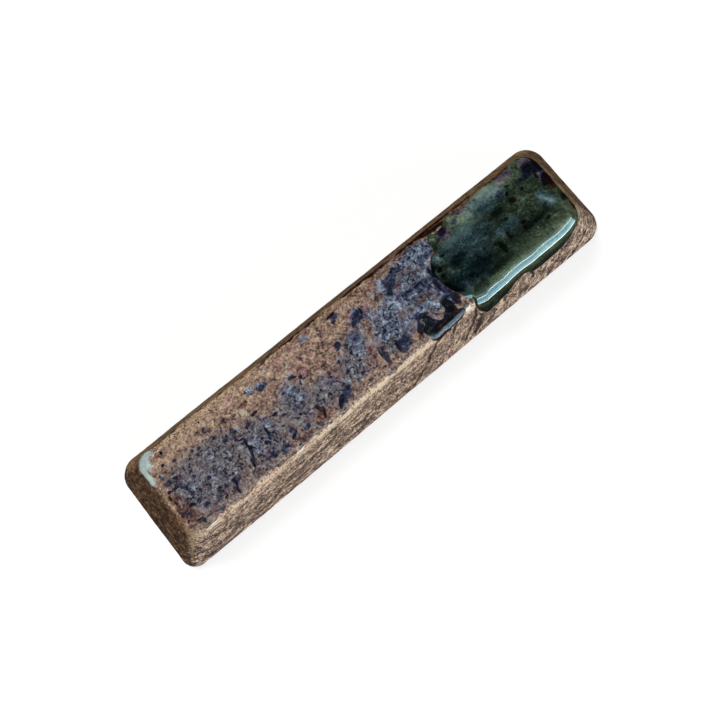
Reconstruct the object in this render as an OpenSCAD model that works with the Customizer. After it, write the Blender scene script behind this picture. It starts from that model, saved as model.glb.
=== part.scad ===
// Handmade bar-shaped chopstick rest: a leaning-sided stoneware bar with a bare clay foot,
// a speckled glaze coat, and the thicker glazes that melted together on its flat top.
// The origin is the middle of the foot, +X runs along the bar to the green end, +Z is up.
// The near long side, where the green glass runs over the edge, faces -Y.

/* [Bar, measured over the speckled coat] */
// Length at the coat's lower rim
rest_length = 75; // [60:1:90]
// Width of the plain end at the coat's lower rim
plain_end_width = 17.7; // [15:0.1:22]
// Width of the green end at the coat's lower rim
green_end_width = 16.6; // [15:0.1:22]
// Height of the flat top above the table
rest_height = 9.8; // [8:0.1:12]
// How far the plain end's far corner stands back from its near corner
plain_end_skew = 0.4; // [0:0.1:1]
// How far each end wall leans in from rim to top
end_lean = 3.6; // [2:0.1:5]
// How far the near long side leans in from rim to top
near_lean = 2.6; // [1.5:0.1:3]
// How far the far long side leans in from rim to top
far_lean = 2.2; // [1.5:0.1:3]
// Corner radius at the rim, seen from above
rim_corner_radius = 3; // [2.4:0.1:4]
// Radius of the sharper near corner of the plain end, at the rim
sharp_corner_radius = 2.2; // [1.8:0.1:3]
// Corner radius of the flat top, seen from above
top_corner_radius = 2.8; // [2.4:0.1:3.6]
// Radius of the rounded top edges
edge_radius = 1.6; // [1.2:0.1:2.2]

/* [Clay body] */
// Bevel round the bottom edge of the bare clay
foot_bevel = 0.5; // [0.2:0.1:0.8]

/* [Speckled coat] */
// Thickness of the coat
coat_thickness = 0.4; // [0.3:0.05:0.6]
// Height of the bare clay below the coat
bare_foot_height = 0.8; // [0.8:0.1:1.6]
// Bevel of the coat's lower rim, where the glaze was wiped back
coat_rim_bevel = 0.2; // [0.1:0.05:0.25]

/* [Glazes on the top] */
// Thickness of the mottled iron glaze field
field_thickness = 0.25; // [0.15:0.05:0.4]
// Height of the blue crystal crust above the field
crust_thickness = 0.35; // [0.2:0.05:0.5]
// Thickness of the green glass pool
pool_thickness = 0.8; // [0.5:0.05:1]
// Thickness of the dark glass bead on the near edge
bead_thickness = 0.6; // [0.4:0.05:0.8]
// Thickness of the pale celadon spot on the plain end's far corner
corner_spot_thickness = 0.25; // [0.15:0.05:0.4]
// Thickness of the dark runs down the near side
run_thickness = 0.25; // [0.15:0.05:0.4]
// Height of the gas blisters above the field
blister_height = 0.45; // [0.3:0.05:0.7]

/* [Hidden] */
$fn = 32;

// Overrun of cutting prisms past what they cut
overrun = 5;
// Steps between two neighbouring points of a smoothed outline
curve_steps = 4;
mid_width = (plain_end_width + green_end_width) / 2;
// Height at which the leaning walls start, at the top of the coat's lower bevel
rim_height = bare_foot_height + coat_rim_bevel;

// Outline tables: [share of rest_length, share of mid_width], seen from above
field_shares = [
    [-0.445, -0.286], [-0.360, -0.312], [-0.267, -0.292], [-0.173, -0.312], [-0.080, -0.290],
    [0.000, -0.318], [0.069, -0.300], [0.110, -0.260], [0.170, -0.240], [0.200, -0.150],
    [0.200, 0.130], [0.197, 0.262], [0.170, 0.312], [0.107, 0.318], [0.013, 0.296],
    [-0.080, 0.318],
    [-0.173, 0.294], [-0.267, 0.314], [-0.350, 0.296], [-0.425, 0.286], [-0.446, 0.180],
    [-0.450, 0.060], [-0.441, -0.090], [-0.449, -0.200]
];
pool_shares = [
    [0.197, -0.620], [0.194, -0.330], [0.183, -0.268], [0.174, -0.205], [0.168, -0.122],
    [0.162, -0.035], [0.166, 0.035], [0.168, 0.117], [0.178, 0.160], [0.197, 0.192],
    [0.204, 0.300], [0.227, 0.292], [0.253, 0.352], [0.283, 0.326], [0.324, 0.357],
    [0.367, 0.342], [0.405, 0.350], [0.436, 0.292], [0.449, 0.170], [0.453, 0.020],
    [0.451, -0.130], [0.453, -0.260], [0.450, -0.620]
];
bead_shares = [
    [0.076, -0.620], [0.076, -0.300], [0.082, -0.215], [0.098, -0.165], [0.122, -0.140],
    [0.147, -0.150], [0.188, -0.180], [0.200, -0.262], [0.176, -0.345], [0.172, -0.620]
];
corner_spot_shares = [
    [-0.457, 0.335], [-0.449, 0.366], [-0.433, 0.372], [-0.419, 0.352], [-0.427, 0.302],
    [-0.437, 0.262], [-0.442, 0.190], [-0.450, 0.170], [-0.454, 0.250]
];

// Lower edge of the green glass on the near side: [share of rest_length, share of rest_height]
pool_edge_shares = [
    [0.150, 0.960], [0.190, 0.920], [0.197, 0.620], [0.207, 0.545], [0.230, 0.565],
    [0.262, 0.660], [0.297, 0.830], [0.322, 0.700], [0.358, 0.645], [0.393, 0.680],
    [0.420, 0.790], [0.446, 0.920], [0.462, 0.955]
];

// Lower edge of the dark bead on the near side: [share of rest_length, share of rest_height]
bead_edge_shares = [
    [0.060, 0.960], [0.074, 0.940], [0.086, 0.860], [0.108, 0.810], [0.136, 0.830],
    [0.158, 0.880], [0.174, 0.950], [0.200, 0.970]
];

// Runs on the near side, top to bottom:
// [share of rest_length, share of rest_height, half width as a share of rest_height]
run_shares = [
    [[0.101, 0.900, 0.040], [0.080, 0.600, 0.050], [0.061, 0.330, 0.055], [0.043, 0.170, 0.070]],
    [[0.193, 0.850, 0.040], [0.189, 0.560, 0.050], [0.182, 0.330, 0.055], [0.175, 0.180, 0.070]],
    [[0.309, 0.560, 0.035], [0.314, 0.440, 0.045], [0.309, 0.300, 0.060]]
];

// Lobes of crust: [share of rest_length, share of mid_width, radius as a share of mid_width]
crust_shares = [
    [0.092, 0.240, 0.050], [0.112, 0.272, 0.045], [0.131, 0.262, 0.050], [0.152, 0.262, 0.046],
    [0.172, 0.264, 0.050],
    [0.004, 0.150, 0.034], [0.014, 0.190, 0.040], [0.025, 0.216, 0.034],
    [-0.053, 0.094, 0.036], [-0.028, 0.288, 0.034], [-0.016, 0.286, 0.028],
    [-0.087, 0.290, 0.038],
    [0.034, -0.084, 0.028], [0.047, -0.038, 0.034], [0.061, 0.020, 0.034], [0.074, 0.068, 0.028],
    [0.043, -0.245, 0.050], [0.043, -0.190, 0.038],
    [0.112, 0.052, 0.040], [0.127, 0.024, 0.046], [0.143, 0.050, 0.034],
    [-0.108, -0.268, 0.036], [-0.096, -0.226, 0.036], [-0.084, -0.182, 0.030],
    [-0.284, -0.104, 0.024], [-0.292, -0.172, 0.026], [-0.241, -0.080, 0.026],
    [-0.336, -0.268, 0.024], [-0.219, 0.225, 0.030], [-0.207, -0.236, 0.026]
];

// Blisters: [share of rest_length, share of mid_width, radius as a share of mid_width]
blister_shares = [
    [-0.019, 0.046, 0.076], [-0.029, -0.030, 0.046], [-0.312, -0.006, 0.030],
    [-0.176, 0.150, 0.034], [0.080, -0.090, 0.034]
];

// Distance from the rim's outline to the centre of the round top edge, on a wall that leans
function edge_inset(lean) =
    lean + edge_radius / tan((90 + atan(lean / (rest_height - rim_height))) / 2);

// Distance that a leaning wall has come in from the rim's outline at one height
function wall_inset(lean, height) = lean * (height - rim_height) / (rest_height - rim_height);

// Half width at the end that a sign picks out
function half_width(end_sign) = (end_sign > 0 ? green_end_width : plain_end_width) / 2;

// Length from the middle of the bar to the rim at one corner
function half_length(end_sign, side_sign) =
    rest_length / 2 - (end_sign < 0 && side_sign > 0 ? plain_end_skew : 0);

// Lean of the long side that a sign picks out
function side_lean(side_sign) = side_sign > 0 ? far_lean : near_lean;

// Radius at the rim of one corner
function rim_radius(end_sign, side_sign) =
    end_sign < 0 && side_sign < 0 ? sharp_corner_radius : rim_corner_radius;

// Place from above of one corner that stands in from the rim by insets along and across the bar
function corner_place(end_sign, side_sign, inset_x, inset_y) = [
    end_sign * (half_length(end_sign, side_sign) - inset_x),
    side_sign * (half_width(end_sign) - inset_y)
];

function plan_point(share) = [share[0] * rest_length, share[1] * mid_width];
function side_point(share) = [share[0] * rest_length, share[1] * rest_height];

// Point on the smooth curve through four neighbouring points, between the middle two
function curve_point(a, b, c, d, t) =
    (2 * b + (c - a) * t + (2 * a - 5 * b + 4 * c - d) * t * t
        + (3 * b - a - 3 * c + d) * t * t * t) / 2;

// Closed outline through all the points
function smooth_outline(points) =
    let (count = len(points))
    [for (i = [0 : count - 1], k = [0 : curve_steps - 1])
        curve_point(points[(i + count - 1) % count], points[i],
            points[(i + 1) % count], points[(i + 2) % count], k / curve_steps)];

// Open line through all the points
function smooth_line(points) =
    let (last = len(points) - 1)
    concat([for (i = [0 : last - 1], k = [0 : curve_steps - 1])
        curve_point(points[max(i - 1, 0)], points[i],
            points[i + 1], points[min(i + 2, last)], k / curve_steps)], [points[last]]);

// The bar's outer form, grown outwards by a glaze thickness, from one height up,
// with a bevel round its lower edge
module bar_form(grow, from_height, bevel) {
    disc_height = from_height + bevel;
    ring_radius = top_corner_radius - edge_radius;
    hull() {
        for (end_sign = [-1, 1], side_sign = [-1, 1]) {
            lean = side_lean(side_sign);
            disc_radius = rim_radius(end_sign, side_sign);
            translate(corner_place(end_sign, side_sign,
                    wall_inset(end_lean, disc_height) + disc_radius,
                    wall_inset(lean, disc_height) + disc_radius))
                translate([0, 0, from_height])
                    cylinder(h = bevel, r1 = disc_radius + grow - bevel, r2 = disc_radius + grow);
            translate(corner_place(end_sign, side_sign,
                    edge_inset(end_lean) + ring_radius, edge_inset(lean) + ring_radius))
                translate([0, 0, rest_height - edge_radius])
                    rounded_puck(ring_radius, edge_radius + grow);
        }
    }
}

// Round-edged disc that forms one top corner
module rounded_puck(ring_radius, tube_radius) {
    rotate_extrude()
        intersection() {
            translate([ring_radius, 0])
                circle(r = tube_radius);
            translate([0, -tube_radius])
                square([ring_radius + tube_radius, 2 * tube_radius]);
        }
}

module clay_form() {
    bar_form(-coat_thickness, 0, foot_bevel);
}

// The coat's outer surface, carried on down to the table so that it cuts what lies on the coat
module coat_form() {
    bar_form(0, 0, foot_bevel);
}

// Layer of one thickness over the coat, where the children stand
module layer_on_coat(thickness) {
    difference() {
        intersection() {
            bar_form(thickness, 0, foot_bevel);
            children();
        }
        coat_form();
    }
}

// Upright prism through the bar
module plan_prism(outline) {
    linear_extrude(height = rest_height + overrun)
        polygon(outline);
}

// Prism from the near side through to one depth, with its outline drawn on the near side
module side_prism(outline, far_y) {
    translate([0, far_y, 0])
        rotate([90, 0, 0])
            linear_extrude(height = far_y + plain_end_width)
                polygon(outline);
}

// Outlines from above of the glass that lies on the top and hangs over the near edge
function pool_outline() = smooth_line([for (share = pool_shares) plan_point(share)]);
function bead_outline() = smooth_line([for (share = bead_shares) plan_point(share)]);

// Glass over the coat, from its outline from above and the lower edge that it ran down to
module glass(outline, lower_edge, thickness) {
    top_height = rest_height + overrun;
    first = lower_edge[0];
    last = lower_edge[len(lower_edge) - 1];
    layer_on_coat(thickness)
        intersection() {
            plan_prism(outline);
            side_prism(concat(lower_edge, [[last[0], top_height], [first[0], top_height]]),
                plain_end_width);
        }
}

module clay_body() {
    color("#8a6f58")
        clay_form();
}

module speckled_coat() {
    color("#b08f72")
        difference() {
            bar_form(0, bare_foot_height, coat_rim_bevel);
            clay_form();
        }
}

// Mottled glaze over the flat top, up to the lips of the green pool and the dark bead
module iron_glaze_field() {
    color("#6e6560")
        difference() {
            layer_on_coat(field_thickness)
                plan_prism(smooth_outline([for (share = field_shares) plan_point(share)]));
            plan_prism(pool_outline());
            plan_prism(bead_outline());
        }
}

// Thick glass that pooled on the green end and ran in two lobes down the near side
module green_glass_pool() {
    color("#2f4a3c")
        glass(pool_outline(), smooth_line([for (share = pool_edge_shares) side_point(share)]),
            pool_thickness);
}

// Raised lobes of blue crystals that grew on the field
module blue_crystal_crust() {
    color("#3c4a68")
        difference() {
            intersection() {
                bar_form(field_thickness + crust_thickness, 0, foot_bevel);
                for (share = crust_shares)
                    translate([share[0] * rest_length, share[1] * mid_width, 0])
                        cylinder(h = rest_height + overrun, r = share[2] * mid_width);
            }
            bar_form(field_thickness, 0, foot_bevel);
            plan_prism(pool_outline());
            plan_prism(bead_outline());
        }
}

// Thick dark glass on the near edge, beside the pool
module edge_glass_bead() {
    color("#26303a")
        difference() {
            glass(bead_outline(), smooth_line([for (share = bead_edge_shares) side_point(share)]),
                bead_thickness);
            plan_prism(pool_outline());
        }
}

module corner_celadon_spot() {
    color("#b9c8bd")
        layer_on_coat(corner_spot_thickness)
            difference() {
                plan_prism(smooth_outline([for (share = corner_spot_shares) plan_point(share)]));
                plan_prism(smooth_outline([for (share = field_shares) plan_point(share)]));
            }
}

// Outline of one run, from its two edges
function run_outline(run) =
    concat(
        smooth_line([for (share = run) side_point(share) - [share[2] * rest_height, 0]]),
        smooth_line([for (i = [len(run) - 1 : -1 : 0])
            side_point(run[i]) + [run[i][2] * rest_height, 0]]));

module glaze_runs() {
    color("#3a2c24")
        difference() {
            layer_on_coat(run_thickness)
                for (run = run_shares)
                    side_prism(run_outline(run), 0);
            edge_glass_bead();
            green_glass_pool();
        }
}

// Low dome that stands on the field, from its radius and its height
module blister(radius) {
    seat = rest_height + field_thickness;
    sphere_radius = (radius * radius + blister_height * blister_height) / (2 * blister_height);
    intersection() {
        translate([0, 0, seat + blister_height - sphere_radius])
            sphere(r = sphere_radius);
        translate([0, 0, seat])
            cylinder(h = blister_height, r = sphere_radius);
    }
}

module glaze_blisters() {
    color("#7c7f86")
        for (share = blister_shares)
            translate([share[0] * rest_length, share[1] * mid_width, 0])
                blister(share[2] * mid_width);
}

clay_body();
speckled_coat();
iron_glaze_field();
green_glass_pool();
blue_crystal_crust();
edge_glass_bead();
corner_celadon_spot();
glaze_runs();
glaze_blisters();
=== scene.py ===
import math
import bpy
import numpy as np
from mathutils import Matrix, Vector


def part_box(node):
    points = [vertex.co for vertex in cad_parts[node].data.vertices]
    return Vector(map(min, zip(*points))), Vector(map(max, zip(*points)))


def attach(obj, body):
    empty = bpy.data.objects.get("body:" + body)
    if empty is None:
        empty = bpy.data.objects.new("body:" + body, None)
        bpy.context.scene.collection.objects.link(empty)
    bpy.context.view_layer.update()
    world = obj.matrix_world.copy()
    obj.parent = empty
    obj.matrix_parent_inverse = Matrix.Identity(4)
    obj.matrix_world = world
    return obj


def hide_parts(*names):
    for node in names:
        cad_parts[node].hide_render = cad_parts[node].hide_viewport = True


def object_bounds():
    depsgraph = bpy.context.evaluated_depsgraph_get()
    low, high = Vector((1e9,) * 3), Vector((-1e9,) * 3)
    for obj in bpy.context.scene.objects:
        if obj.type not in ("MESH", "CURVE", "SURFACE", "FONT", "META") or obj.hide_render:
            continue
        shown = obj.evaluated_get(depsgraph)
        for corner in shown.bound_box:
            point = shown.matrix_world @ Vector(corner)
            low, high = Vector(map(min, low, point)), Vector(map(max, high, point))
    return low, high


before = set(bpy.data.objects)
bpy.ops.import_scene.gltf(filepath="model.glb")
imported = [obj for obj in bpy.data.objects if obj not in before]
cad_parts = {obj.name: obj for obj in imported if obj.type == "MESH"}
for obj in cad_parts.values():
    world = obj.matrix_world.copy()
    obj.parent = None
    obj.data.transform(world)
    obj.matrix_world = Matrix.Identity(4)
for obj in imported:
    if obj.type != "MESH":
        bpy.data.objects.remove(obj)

# Looks of a handmade, glazed stoneware chopstick rest. Shapes are worked out in millimetres,
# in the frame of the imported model, and put into the scene in metres.
MM = 0.001
cad_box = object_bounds()


def node_box(node):
    low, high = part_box(node)
    return np.array(low) / MM, np.array(high) / MM


# Sizes of the bar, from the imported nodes. The green end is narrower than the plain one
COAT_LOW, COAT_HIGH = node_box("speckled_coat")
REST_LENGTH = COAT_HIGH[0] - COAT_LOW[0]
PLAIN_WIDTH = COAT_HIGH[1] - COAT_LOW[1]
GREEN_SHARE = 16.6 / 17.7
GREEN_WIDTH = PLAIN_WIDTH * GREEN_SHARE
TOP_Z = COAT_HIGH[2]
COAT_FOOT_Z = COAT_LOW[2]
POOL_THICKNESS = node_box("green_glass_pool")[1][2] - TOP_Z

END_LEAN = 3.6
NEAR_LEAN = 2.6
FAR_LEAN = 2.2
PLAIN_END_SKEW = 0.4
RIM_CORNER_RADIUS = 3.0
SHARP_CORNER_RADIUS = 2.2
TOP_CORNER_RADIUS = 2.8
EDGE_RADIUS = 1.6
COAT_THICKNESS = 0.4
CLAY_GAP = 0.02
RIM_BEVEL = 0.2
RIM_Z = COAT_FOOT_Z + RIM_BEVEL
FOOT_BEVEL = 0.5
# Signs along and across the bar of its corners, anticlockwise from the plain near one
CORNERS = [(-1, -1), (1, -1), (1, 1), (-1, 1)]


# Noise on points, seeded and the same in each run

def lattice_value(ix, iy, iz, seed):
    n = (ix * 374761393 + iy * 668265263 + iz * 1274126177 + seed * 1442695041) & 0xFFFFFFFF
    n = ((n ^ (n >> 13)) * 1274126177) & 0xFFFFFFFF
    return ((n ^ (n >> 16)) & 0xFFFF) / 32767.5 - 1.0


def smooth_noise(points, size, seed):
    """Values from -1 to 1 that change over about one size."""
    p = points / size
    cell = np.floor(p).astype(np.int64)
    f = p - cell
    u = f * f * f * (f * (f * 6 - 15) + 10)
    total = np.zeros(len(points))
    for dx in (0, 1):
        for dy in (0, 1):
            for dz in (0, 1):
                weight = (np.where(dx, u[:, 0], 1 - u[:, 0])
                          * np.where(dy, u[:, 1], 1 - u[:, 1])
                          * np.where(dz, u[:, 2], 1 - u[:, 2]))
                total += weight * lattice_value(cell[:, 0] + dx, cell[:, 1] + dy,
                                                cell[:, 2] + dz, seed)
    return total


def rough_noise(points, size, seed):
    """Three sizes of noise in one, each half as large and half as strong as the last."""
    total = np.zeros(len(points))
    for k in range(3):
        total += smooth_noise(points, size / 2 ** k, seed + k) / 2 ** k
    return total / 1.6


def step(low, high, value):
    t = np.clip((value - low) / (high - low), 0.0, 1.0)
    return t * t * (3 - 2 * t)


# The bar's form: a grid over the flat top, and ribs that run from it over the edge to the foot

def edge_inset(lean):
    slope = math.atan(lean / (TOP_Z - RIM_Z))
    return lean + EDGE_RADIUS / math.tan((math.pi / 2 + slope) / 2)


def wall_inset(lean, height):
    return lean * (height - RIM_Z) / (TOP_Z - RIM_Z)


def corner_place(end_sign, side_sign, inset_x, inset_y):
    """Place of a corner that stands in from the rim by two insets."""
    skew = PLAIN_END_SKEW if (end_sign, side_sign) == (-1, 1) else 0
    half_width = (GREEN_WIDTH if end_sign > 0 else PLAIN_WIDTH) / 2
    return np.array([end_sign * (REST_LENGTH / 2 - skew - inset_x),
                     side_sign * (half_width - inset_y)])


def ribs(long_count, short_count, corner_count, foot_z):
    """Feet on the rim, edge centres and outward directions of all the ribs."""
    ring = TOP_CORNER_RADIUS - EDGE_RADIUS
    foot_corners, edge_corners, radii = [], [], []
    for end_sign, side_sign in CORNERS:
        lean = FAR_LEAN if side_sign > 0 else NEAR_LEAN
        sharp = (end_sign, side_sign) == CORNERS[0]
        radius = SHARP_CORNER_RADIUS if sharp else RIM_CORNER_RADIUS
        foot_corners.append(corner_place(end_sign, side_sign,
                                         wall_inset(END_LEAN, foot_z) + radius,
                                         wall_inset(lean, foot_z) + radius))
        edge_corners.append(corner_place(end_sign, side_sign, edge_inset(END_LEAN) + ring,
                                         edge_inset(lean) + ring))
        radii.append(radius)
    feet, edges, directions = [], [], []
    for side, count in enumerate((long_count, short_count, long_count, short_count)):
        out_angle = math.pi / 2 * (side - 1)
        here, there = side, (side + 1) % 4
        for k in range(count):
            before = min(k / corner_count, 1.0)
            after = max((k - count + corner_count) / corner_count, 0.0)
            angle = out_angle + math.pi / 4 * (before - 1 + after)
            along = min(max((k - corner_count) / (count - 2 * corner_count), 0.0), 1.0)
            direction = np.array([math.cos(angle), math.sin(angle)])
            radius = radii[here] * (1 - along) + radii[there] * along
            feet.append(foot_corners[here] * (1 - along) + foot_corners[there] * along
                        + radius * direction)
            edges.append(edge_corners[here] * (1 - along) + edge_corners[there] * along
                         + ring * direction)
            directions.append(direction)
    return np.array(feet), np.array(edges), np.array(directions)


def rings_down(feet, edges, directions, radius, foot_z, bevel, counts):
    """Rings of points over the round edge, down the wall and round the bevel at the foot, in
    some counts of steps, and how long the ribs are from the flat top down to each ring."""
    crest_count, wall_count, bevel_count = counts
    edge_z = TOP_Z - EDGE_RADIUS
    apart = feet - edges
    out = np.sum(apart * directions, axis=1)
    aside = apart - out[:, None] * directions
    touch = (np.arctan2(foot_z - edge_z, out)
             + np.arccos(radius / np.hypot(out, edge_z - foot_z)))
    touch_out = radius * np.cos(touch)
    touch_z = edge_z + radius * np.sin(touch)
    wall_length = np.hypot(out - touch_out, touch_z - foot_z)
    rings, lengths = [], []

    def add_ring(distance, height, side_share, length):
        flat = edges + distance[:, None] * directions + side_share * aside
        rings.append(np.column_stack([flat, height]))
        lengths.append(length)

    for k in range(crest_count + 1):
        turn = math.pi / 2 + (touch - math.pi / 2) * k / crest_count
        add_ring(radius * np.cos(turn), edge_z + radius * np.sin(turn), 0.0,
                 radius * (math.pi / 2 - turn))
    for k in range(1, wall_count + 1):
        share = k / wall_count
        add_ring(touch_out + (out - touch_out) * share, touch_z + (foot_z - touch_z) * share,
                 share, lengths[crest_count] + wall_length * share)
    for k in range(1, bevel_count + 1):
        turn = math.pi / 2 * k / bevel_count
        height = np.full(len(feet), foot_z - bevel * math.sin(turn))
        add_ring(out - bevel + bevel * math.cos(turn), height, 1.0,
                 lengths[-1] + bevel * math.pi / 2 / bevel_count)
    return rings, lengths


class Skin:
    """Points, faces and places of one layer of the bar's surface."""

    def __init__(self, long_count, short_count, corner_count, crest_count, wall_count,
                 grow=0.0, foot_z=RIM_Z, bevel=RIM_BEVEL, bevel_count=3):
        self.long_count = long_count
        self.short_count = short_count
        feet, edges, directions = ribs(long_count, short_count, corner_count, foot_z)
        rings, lengths = rings_down(feet + grow * directions, edges, directions,
                                    EDGE_RADIUS + grow, foot_z, bevel,
                                    (crest_count, wall_count, bevel_count))
        grid = self.top_grid(rings[0])
        count = len(feet)
        self.points = np.vstack([grid] + rings[1:])
        self.places = np.vstack([grid[:, :2]] + [rings[0][:, :2] + length[:, None] * directions
                                                 for length in lengths[1:]])
        self.loops = [self.border()] + [np.arange(count) + len(grid) + k * count
                                        for k in range(len(rings) - 1)]
        self.drop = np.concatenate([np.zeros(len(grid))] + lengths[1:])
        self.out = np.vstack([np.zeros((len(grid), 2))] + [directions] * (len(rings) - 1))
        self.faces = self.all_faces()
        self.normals = point_normals(self.points, self.faces)

    def border(self):
        """Grid points round the flat top, in the order of the ribs."""
        across = self.long_count + 1
        near = np.arange(self.long_count)
        green = self.long_count + across * np.arange(self.short_count)
        far = across * self.short_count + np.arange(self.long_count, 0, -1)
        plain = across * np.arange(self.short_count, 0, -1)
        return np.concatenate([near, green, far, plain])

    def top_grid(self, border):
        """Fills the flat top between its four sides."""
        n, m = self.long_count, self.short_count
        near = border[:n + 1]
        green = border[n:n + m + 1]
        far = border[n + m:2 * n + m + 1][::-1]
        plain = np.vstack([border[2 * n + m:], border[:1]])[::-1]
        u = np.linspace(0, 1, n + 1)[None, :, None]
        v = np.linspace(0, 1, m + 1)[:, None, None]
        sides = ((1 - v) * near[None] + v * far[None]
                 + (1 - u) * plain[:, None] + u * green[:, None])
        corners = ((1 - u) * (1 - v) * near[0] + u * (1 - v) * near[-1]
                   + (1 - u) * v * far[0] + u * v * far[-1])
        return (sides - corners).reshape(-1, 3)

    def all_faces(self):
        walls = [np.column_stack([upper, lower, np.roll(lower, -1), np.roll(upper, -1)])
                 for upper, lower in zip(self.loops, self.loops[1:])]
        return np.vstack([grid_quads(self.long_count, self.short_count)] + walls)


def grid_quads(long_count, short_count):
    """Corners of the cells in a grid of points, row by row."""
    across = long_count + 1
    first = (np.arange(short_count)[:, None] * across + np.arange(long_count)).ravel()
    return np.column_stack([first, first + 1, first + across + 1, first + across])


def point_normals(points, faces):
    a, b, c, d = (points[faces[:, k]] for k in range(4))
    normal = np.cross(c - a, d - b)
    total = np.zeros_like(points)
    for axis in range(3):
        for k in range(4):
            total[:, axis] += np.bincount(faces[:, k], normal[:, axis], len(points))
    return total / np.maximum(np.linalg.norm(total, axis=1), 1e-12)[:, None]


def bumps(points, *layers):
    """Sum of rough noises, each given by its depth, size and seed."""
    return sum(depth * rough_noise(points, size, seed) for depth, size, seed in layers)


def hand_wave(points):
    """Slow unevenness of a bar shaped by hand, always inwards so that its size holds."""
    slow = smooth_noise(points, 11.0, 5)
    quick = smooth_noise(points, 4.0, 6)
    return 0.05 * (slow - 1) + 0.02 * (quick - 1)


# Meshes

def new_mesh(name, points, quads, extra_faces=()):
    mesh = bpy.data.meshes.new(name)
    corners = [quads.ravel()] + [np.asarray(face) for face in extra_faces]
    sizes = np.concatenate([np.full(len(quads), 4), [len(face) for face in extra_faces]])
    corners = np.concatenate(corners)
    starts = np.concatenate([[0], np.cumsum(sizes)[:-1]])
    mesh.vertices.add(len(points))
    mesh.vertices.foreach_set("co", (points * MM).ravel())
    mesh.loops.add(len(corners))
    mesh.loops.foreach_set("vertex_index", corners.astype(np.int32))
    mesh.polygons.add(len(sizes))
    mesh.polygons.foreach_set("loop_start", starts.astype(np.int32))
    mesh.polygons.foreach_set("use_smooth", np.ones(len(sizes), dtype=bool))
    mesh.update(calc_edges=True)
    mesh.validate()
    return mesh


def new_object(name, data):
    holder = bpy.data.objects.new(name, data)
    bpy.context.scene.collection.objects.link(holder)
    return holder


def place_piece(name, mesh, node, material, shades):
    for shade, values in shades.items():
        layer = mesh.attributes.new(shade, "FLOAT", "POINT")
        layer.data.foreach_set("value", values.astype(np.float32))
    piece = new_object(name, mesh)
    mesh.materials.append(material)
    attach(piece, "root")
    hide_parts(node)


def keep_inside(points):
    low = np.array(cad_box[0]) / MM
    high = np.array(cad_box[1]) / MM
    return np.clip(points, low, high)


def layer_piece(name, node, material, skin, lift, shades):
    """Closed layer that shows where its lift over the coat is positive and dips under elsewhere."""
    sink, reach = 0.2, -0.1
    raised = skin.base + skin.normals * np.maximum(lift, reach)[:, None]
    seat = skin.base - skin.normals * sink
    chosen = skin.faces[(lift[skin.faces] > reach).any(axis=1)]
    used, flat = np.unique(chosen, return_inverse=True)
    quads = flat.reshape(-1, 4)
    count = len(used)
    edges = np.vstack([quads[:, [k, (k + 1) % 4]] for k in range(4)])
    keys = np.sort(edges, axis=1)
    key = keys[:, 0] * count + keys[:, 1]
    _, index, times = np.unique(key, return_index=True, return_counts=True)
    border = edges[index[times == 1]]
    walls = np.column_stack([border[:, 1], border[:, 0], border[:, 0] + count, border[:, 1] + count])
    faces = np.vstack([quads, quads[:, ::-1] + count, walls])
    points = keep_inside(np.vstack([raised[used], seat[used]]))
    both = {shade: np.tile(values[used], 2) for shade, values in shades.items()}
    place_piece(name, new_mesh(name, points, faces), node, material, both)


# Outlines and spots, in places: x along the bar, y across it, and on over the edges

def curve_through(points, steps=5, closed=True):
    points = np.array(points, dtype=float)
    count = len(points)
    found = []
    for i in range(count if closed else count - 1):
        if closed:
            a, b, c, d = (points[(i + k) % count] for k in (-1, 0, 1, 2))
        else:
            a, b, c, d = (points[min(max(i + k, 0), count - 1)] for k in (-1, 0, 1, 2))
        for t in np.arange(steps) / steps:
            found.append((2 * b + (c - a) * t + (2 * a - 5 * b + 4 * c - d) * t * t
                          + (3 * b - a - 3 * c + d) * t ** 3) / 2)
    return np.array(found)


def inside_distance(places, outline):
    """Distance to the outline, positive inside."""
    a = outline
    b = np.roll(outline, -1, axis=0)
    nearest = np.full(len(places), 1e9)
    inside = np.zeros(len(places), dtype=bool)
    x, y = places[:, 0], places[:, 1]
    for (ax, ay), (bx, by) in zip(a, b):
        ex, ey = bx - ax, by - ay
        along = np.clip(((x - ax) * ex + (y - ay) * ey) / (ex * ex + ey * ey + 1e-12), 0, 1)
        nearest = np.minimum(nearest, np.hypot(x - ax - along * ex, y - ay - along * ey))
        crosses = (ay > y) != (by > y)
        if ey != 0:
            inside ^= crosses & (x < ax + (y - ay) * ex / ey)
    return np.where(inside, nearest, -nearest)


def distances(places, table):
    """How far places are from the middle of each spot, 1 at its rim. A row of the table is
    x, y, half length, half width and, where the spot is turned, its turn in degrees."""
    for x, y, half_length, half_width, *turn in table:
        angle = math.radians(turn[0] if turn else 0)
        c, s = math.cos(angle), math.sin(angle)
        dx, dy = places[:, 0] - x, places[:, 1] - y
        yield np.hypot((dx * c + dy * s) / half_length, (dy * c - dx * s) / half_width)


def spots(places, table):
    """1 in the middle of each spot, 0 at its rim, down to -1 outside."""
    value = np.full(len(places), -1.0)
    for distance in distances(places, table):
        value = np.maximum(value, 1 - distance)
    return value


def areas(places, table):
    """Soft areas: 1 in the middle, fading out to all sides."""
    value = np.zeros(len(places))
    for distance in distances(places, table):
        value = np.maximum(value, np.exp(-1.2 * distance ** 3))
    return value


def shaken(places, points):
    """Places moved to and fro, so that what is drawn on them gets ragged rims."""
    moved = places.copy()
    for axis in (0, 1):
        moved[:, axis] += (0.18 * smooth_noise(points, 1.3, 201 + axis)
                           + 0.16 * smooth_noise(points, 0.6, 211 + axis)
                           + 0.08 * smooth_noise(points, 0.3, 221 + axis))
    return moved


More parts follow.
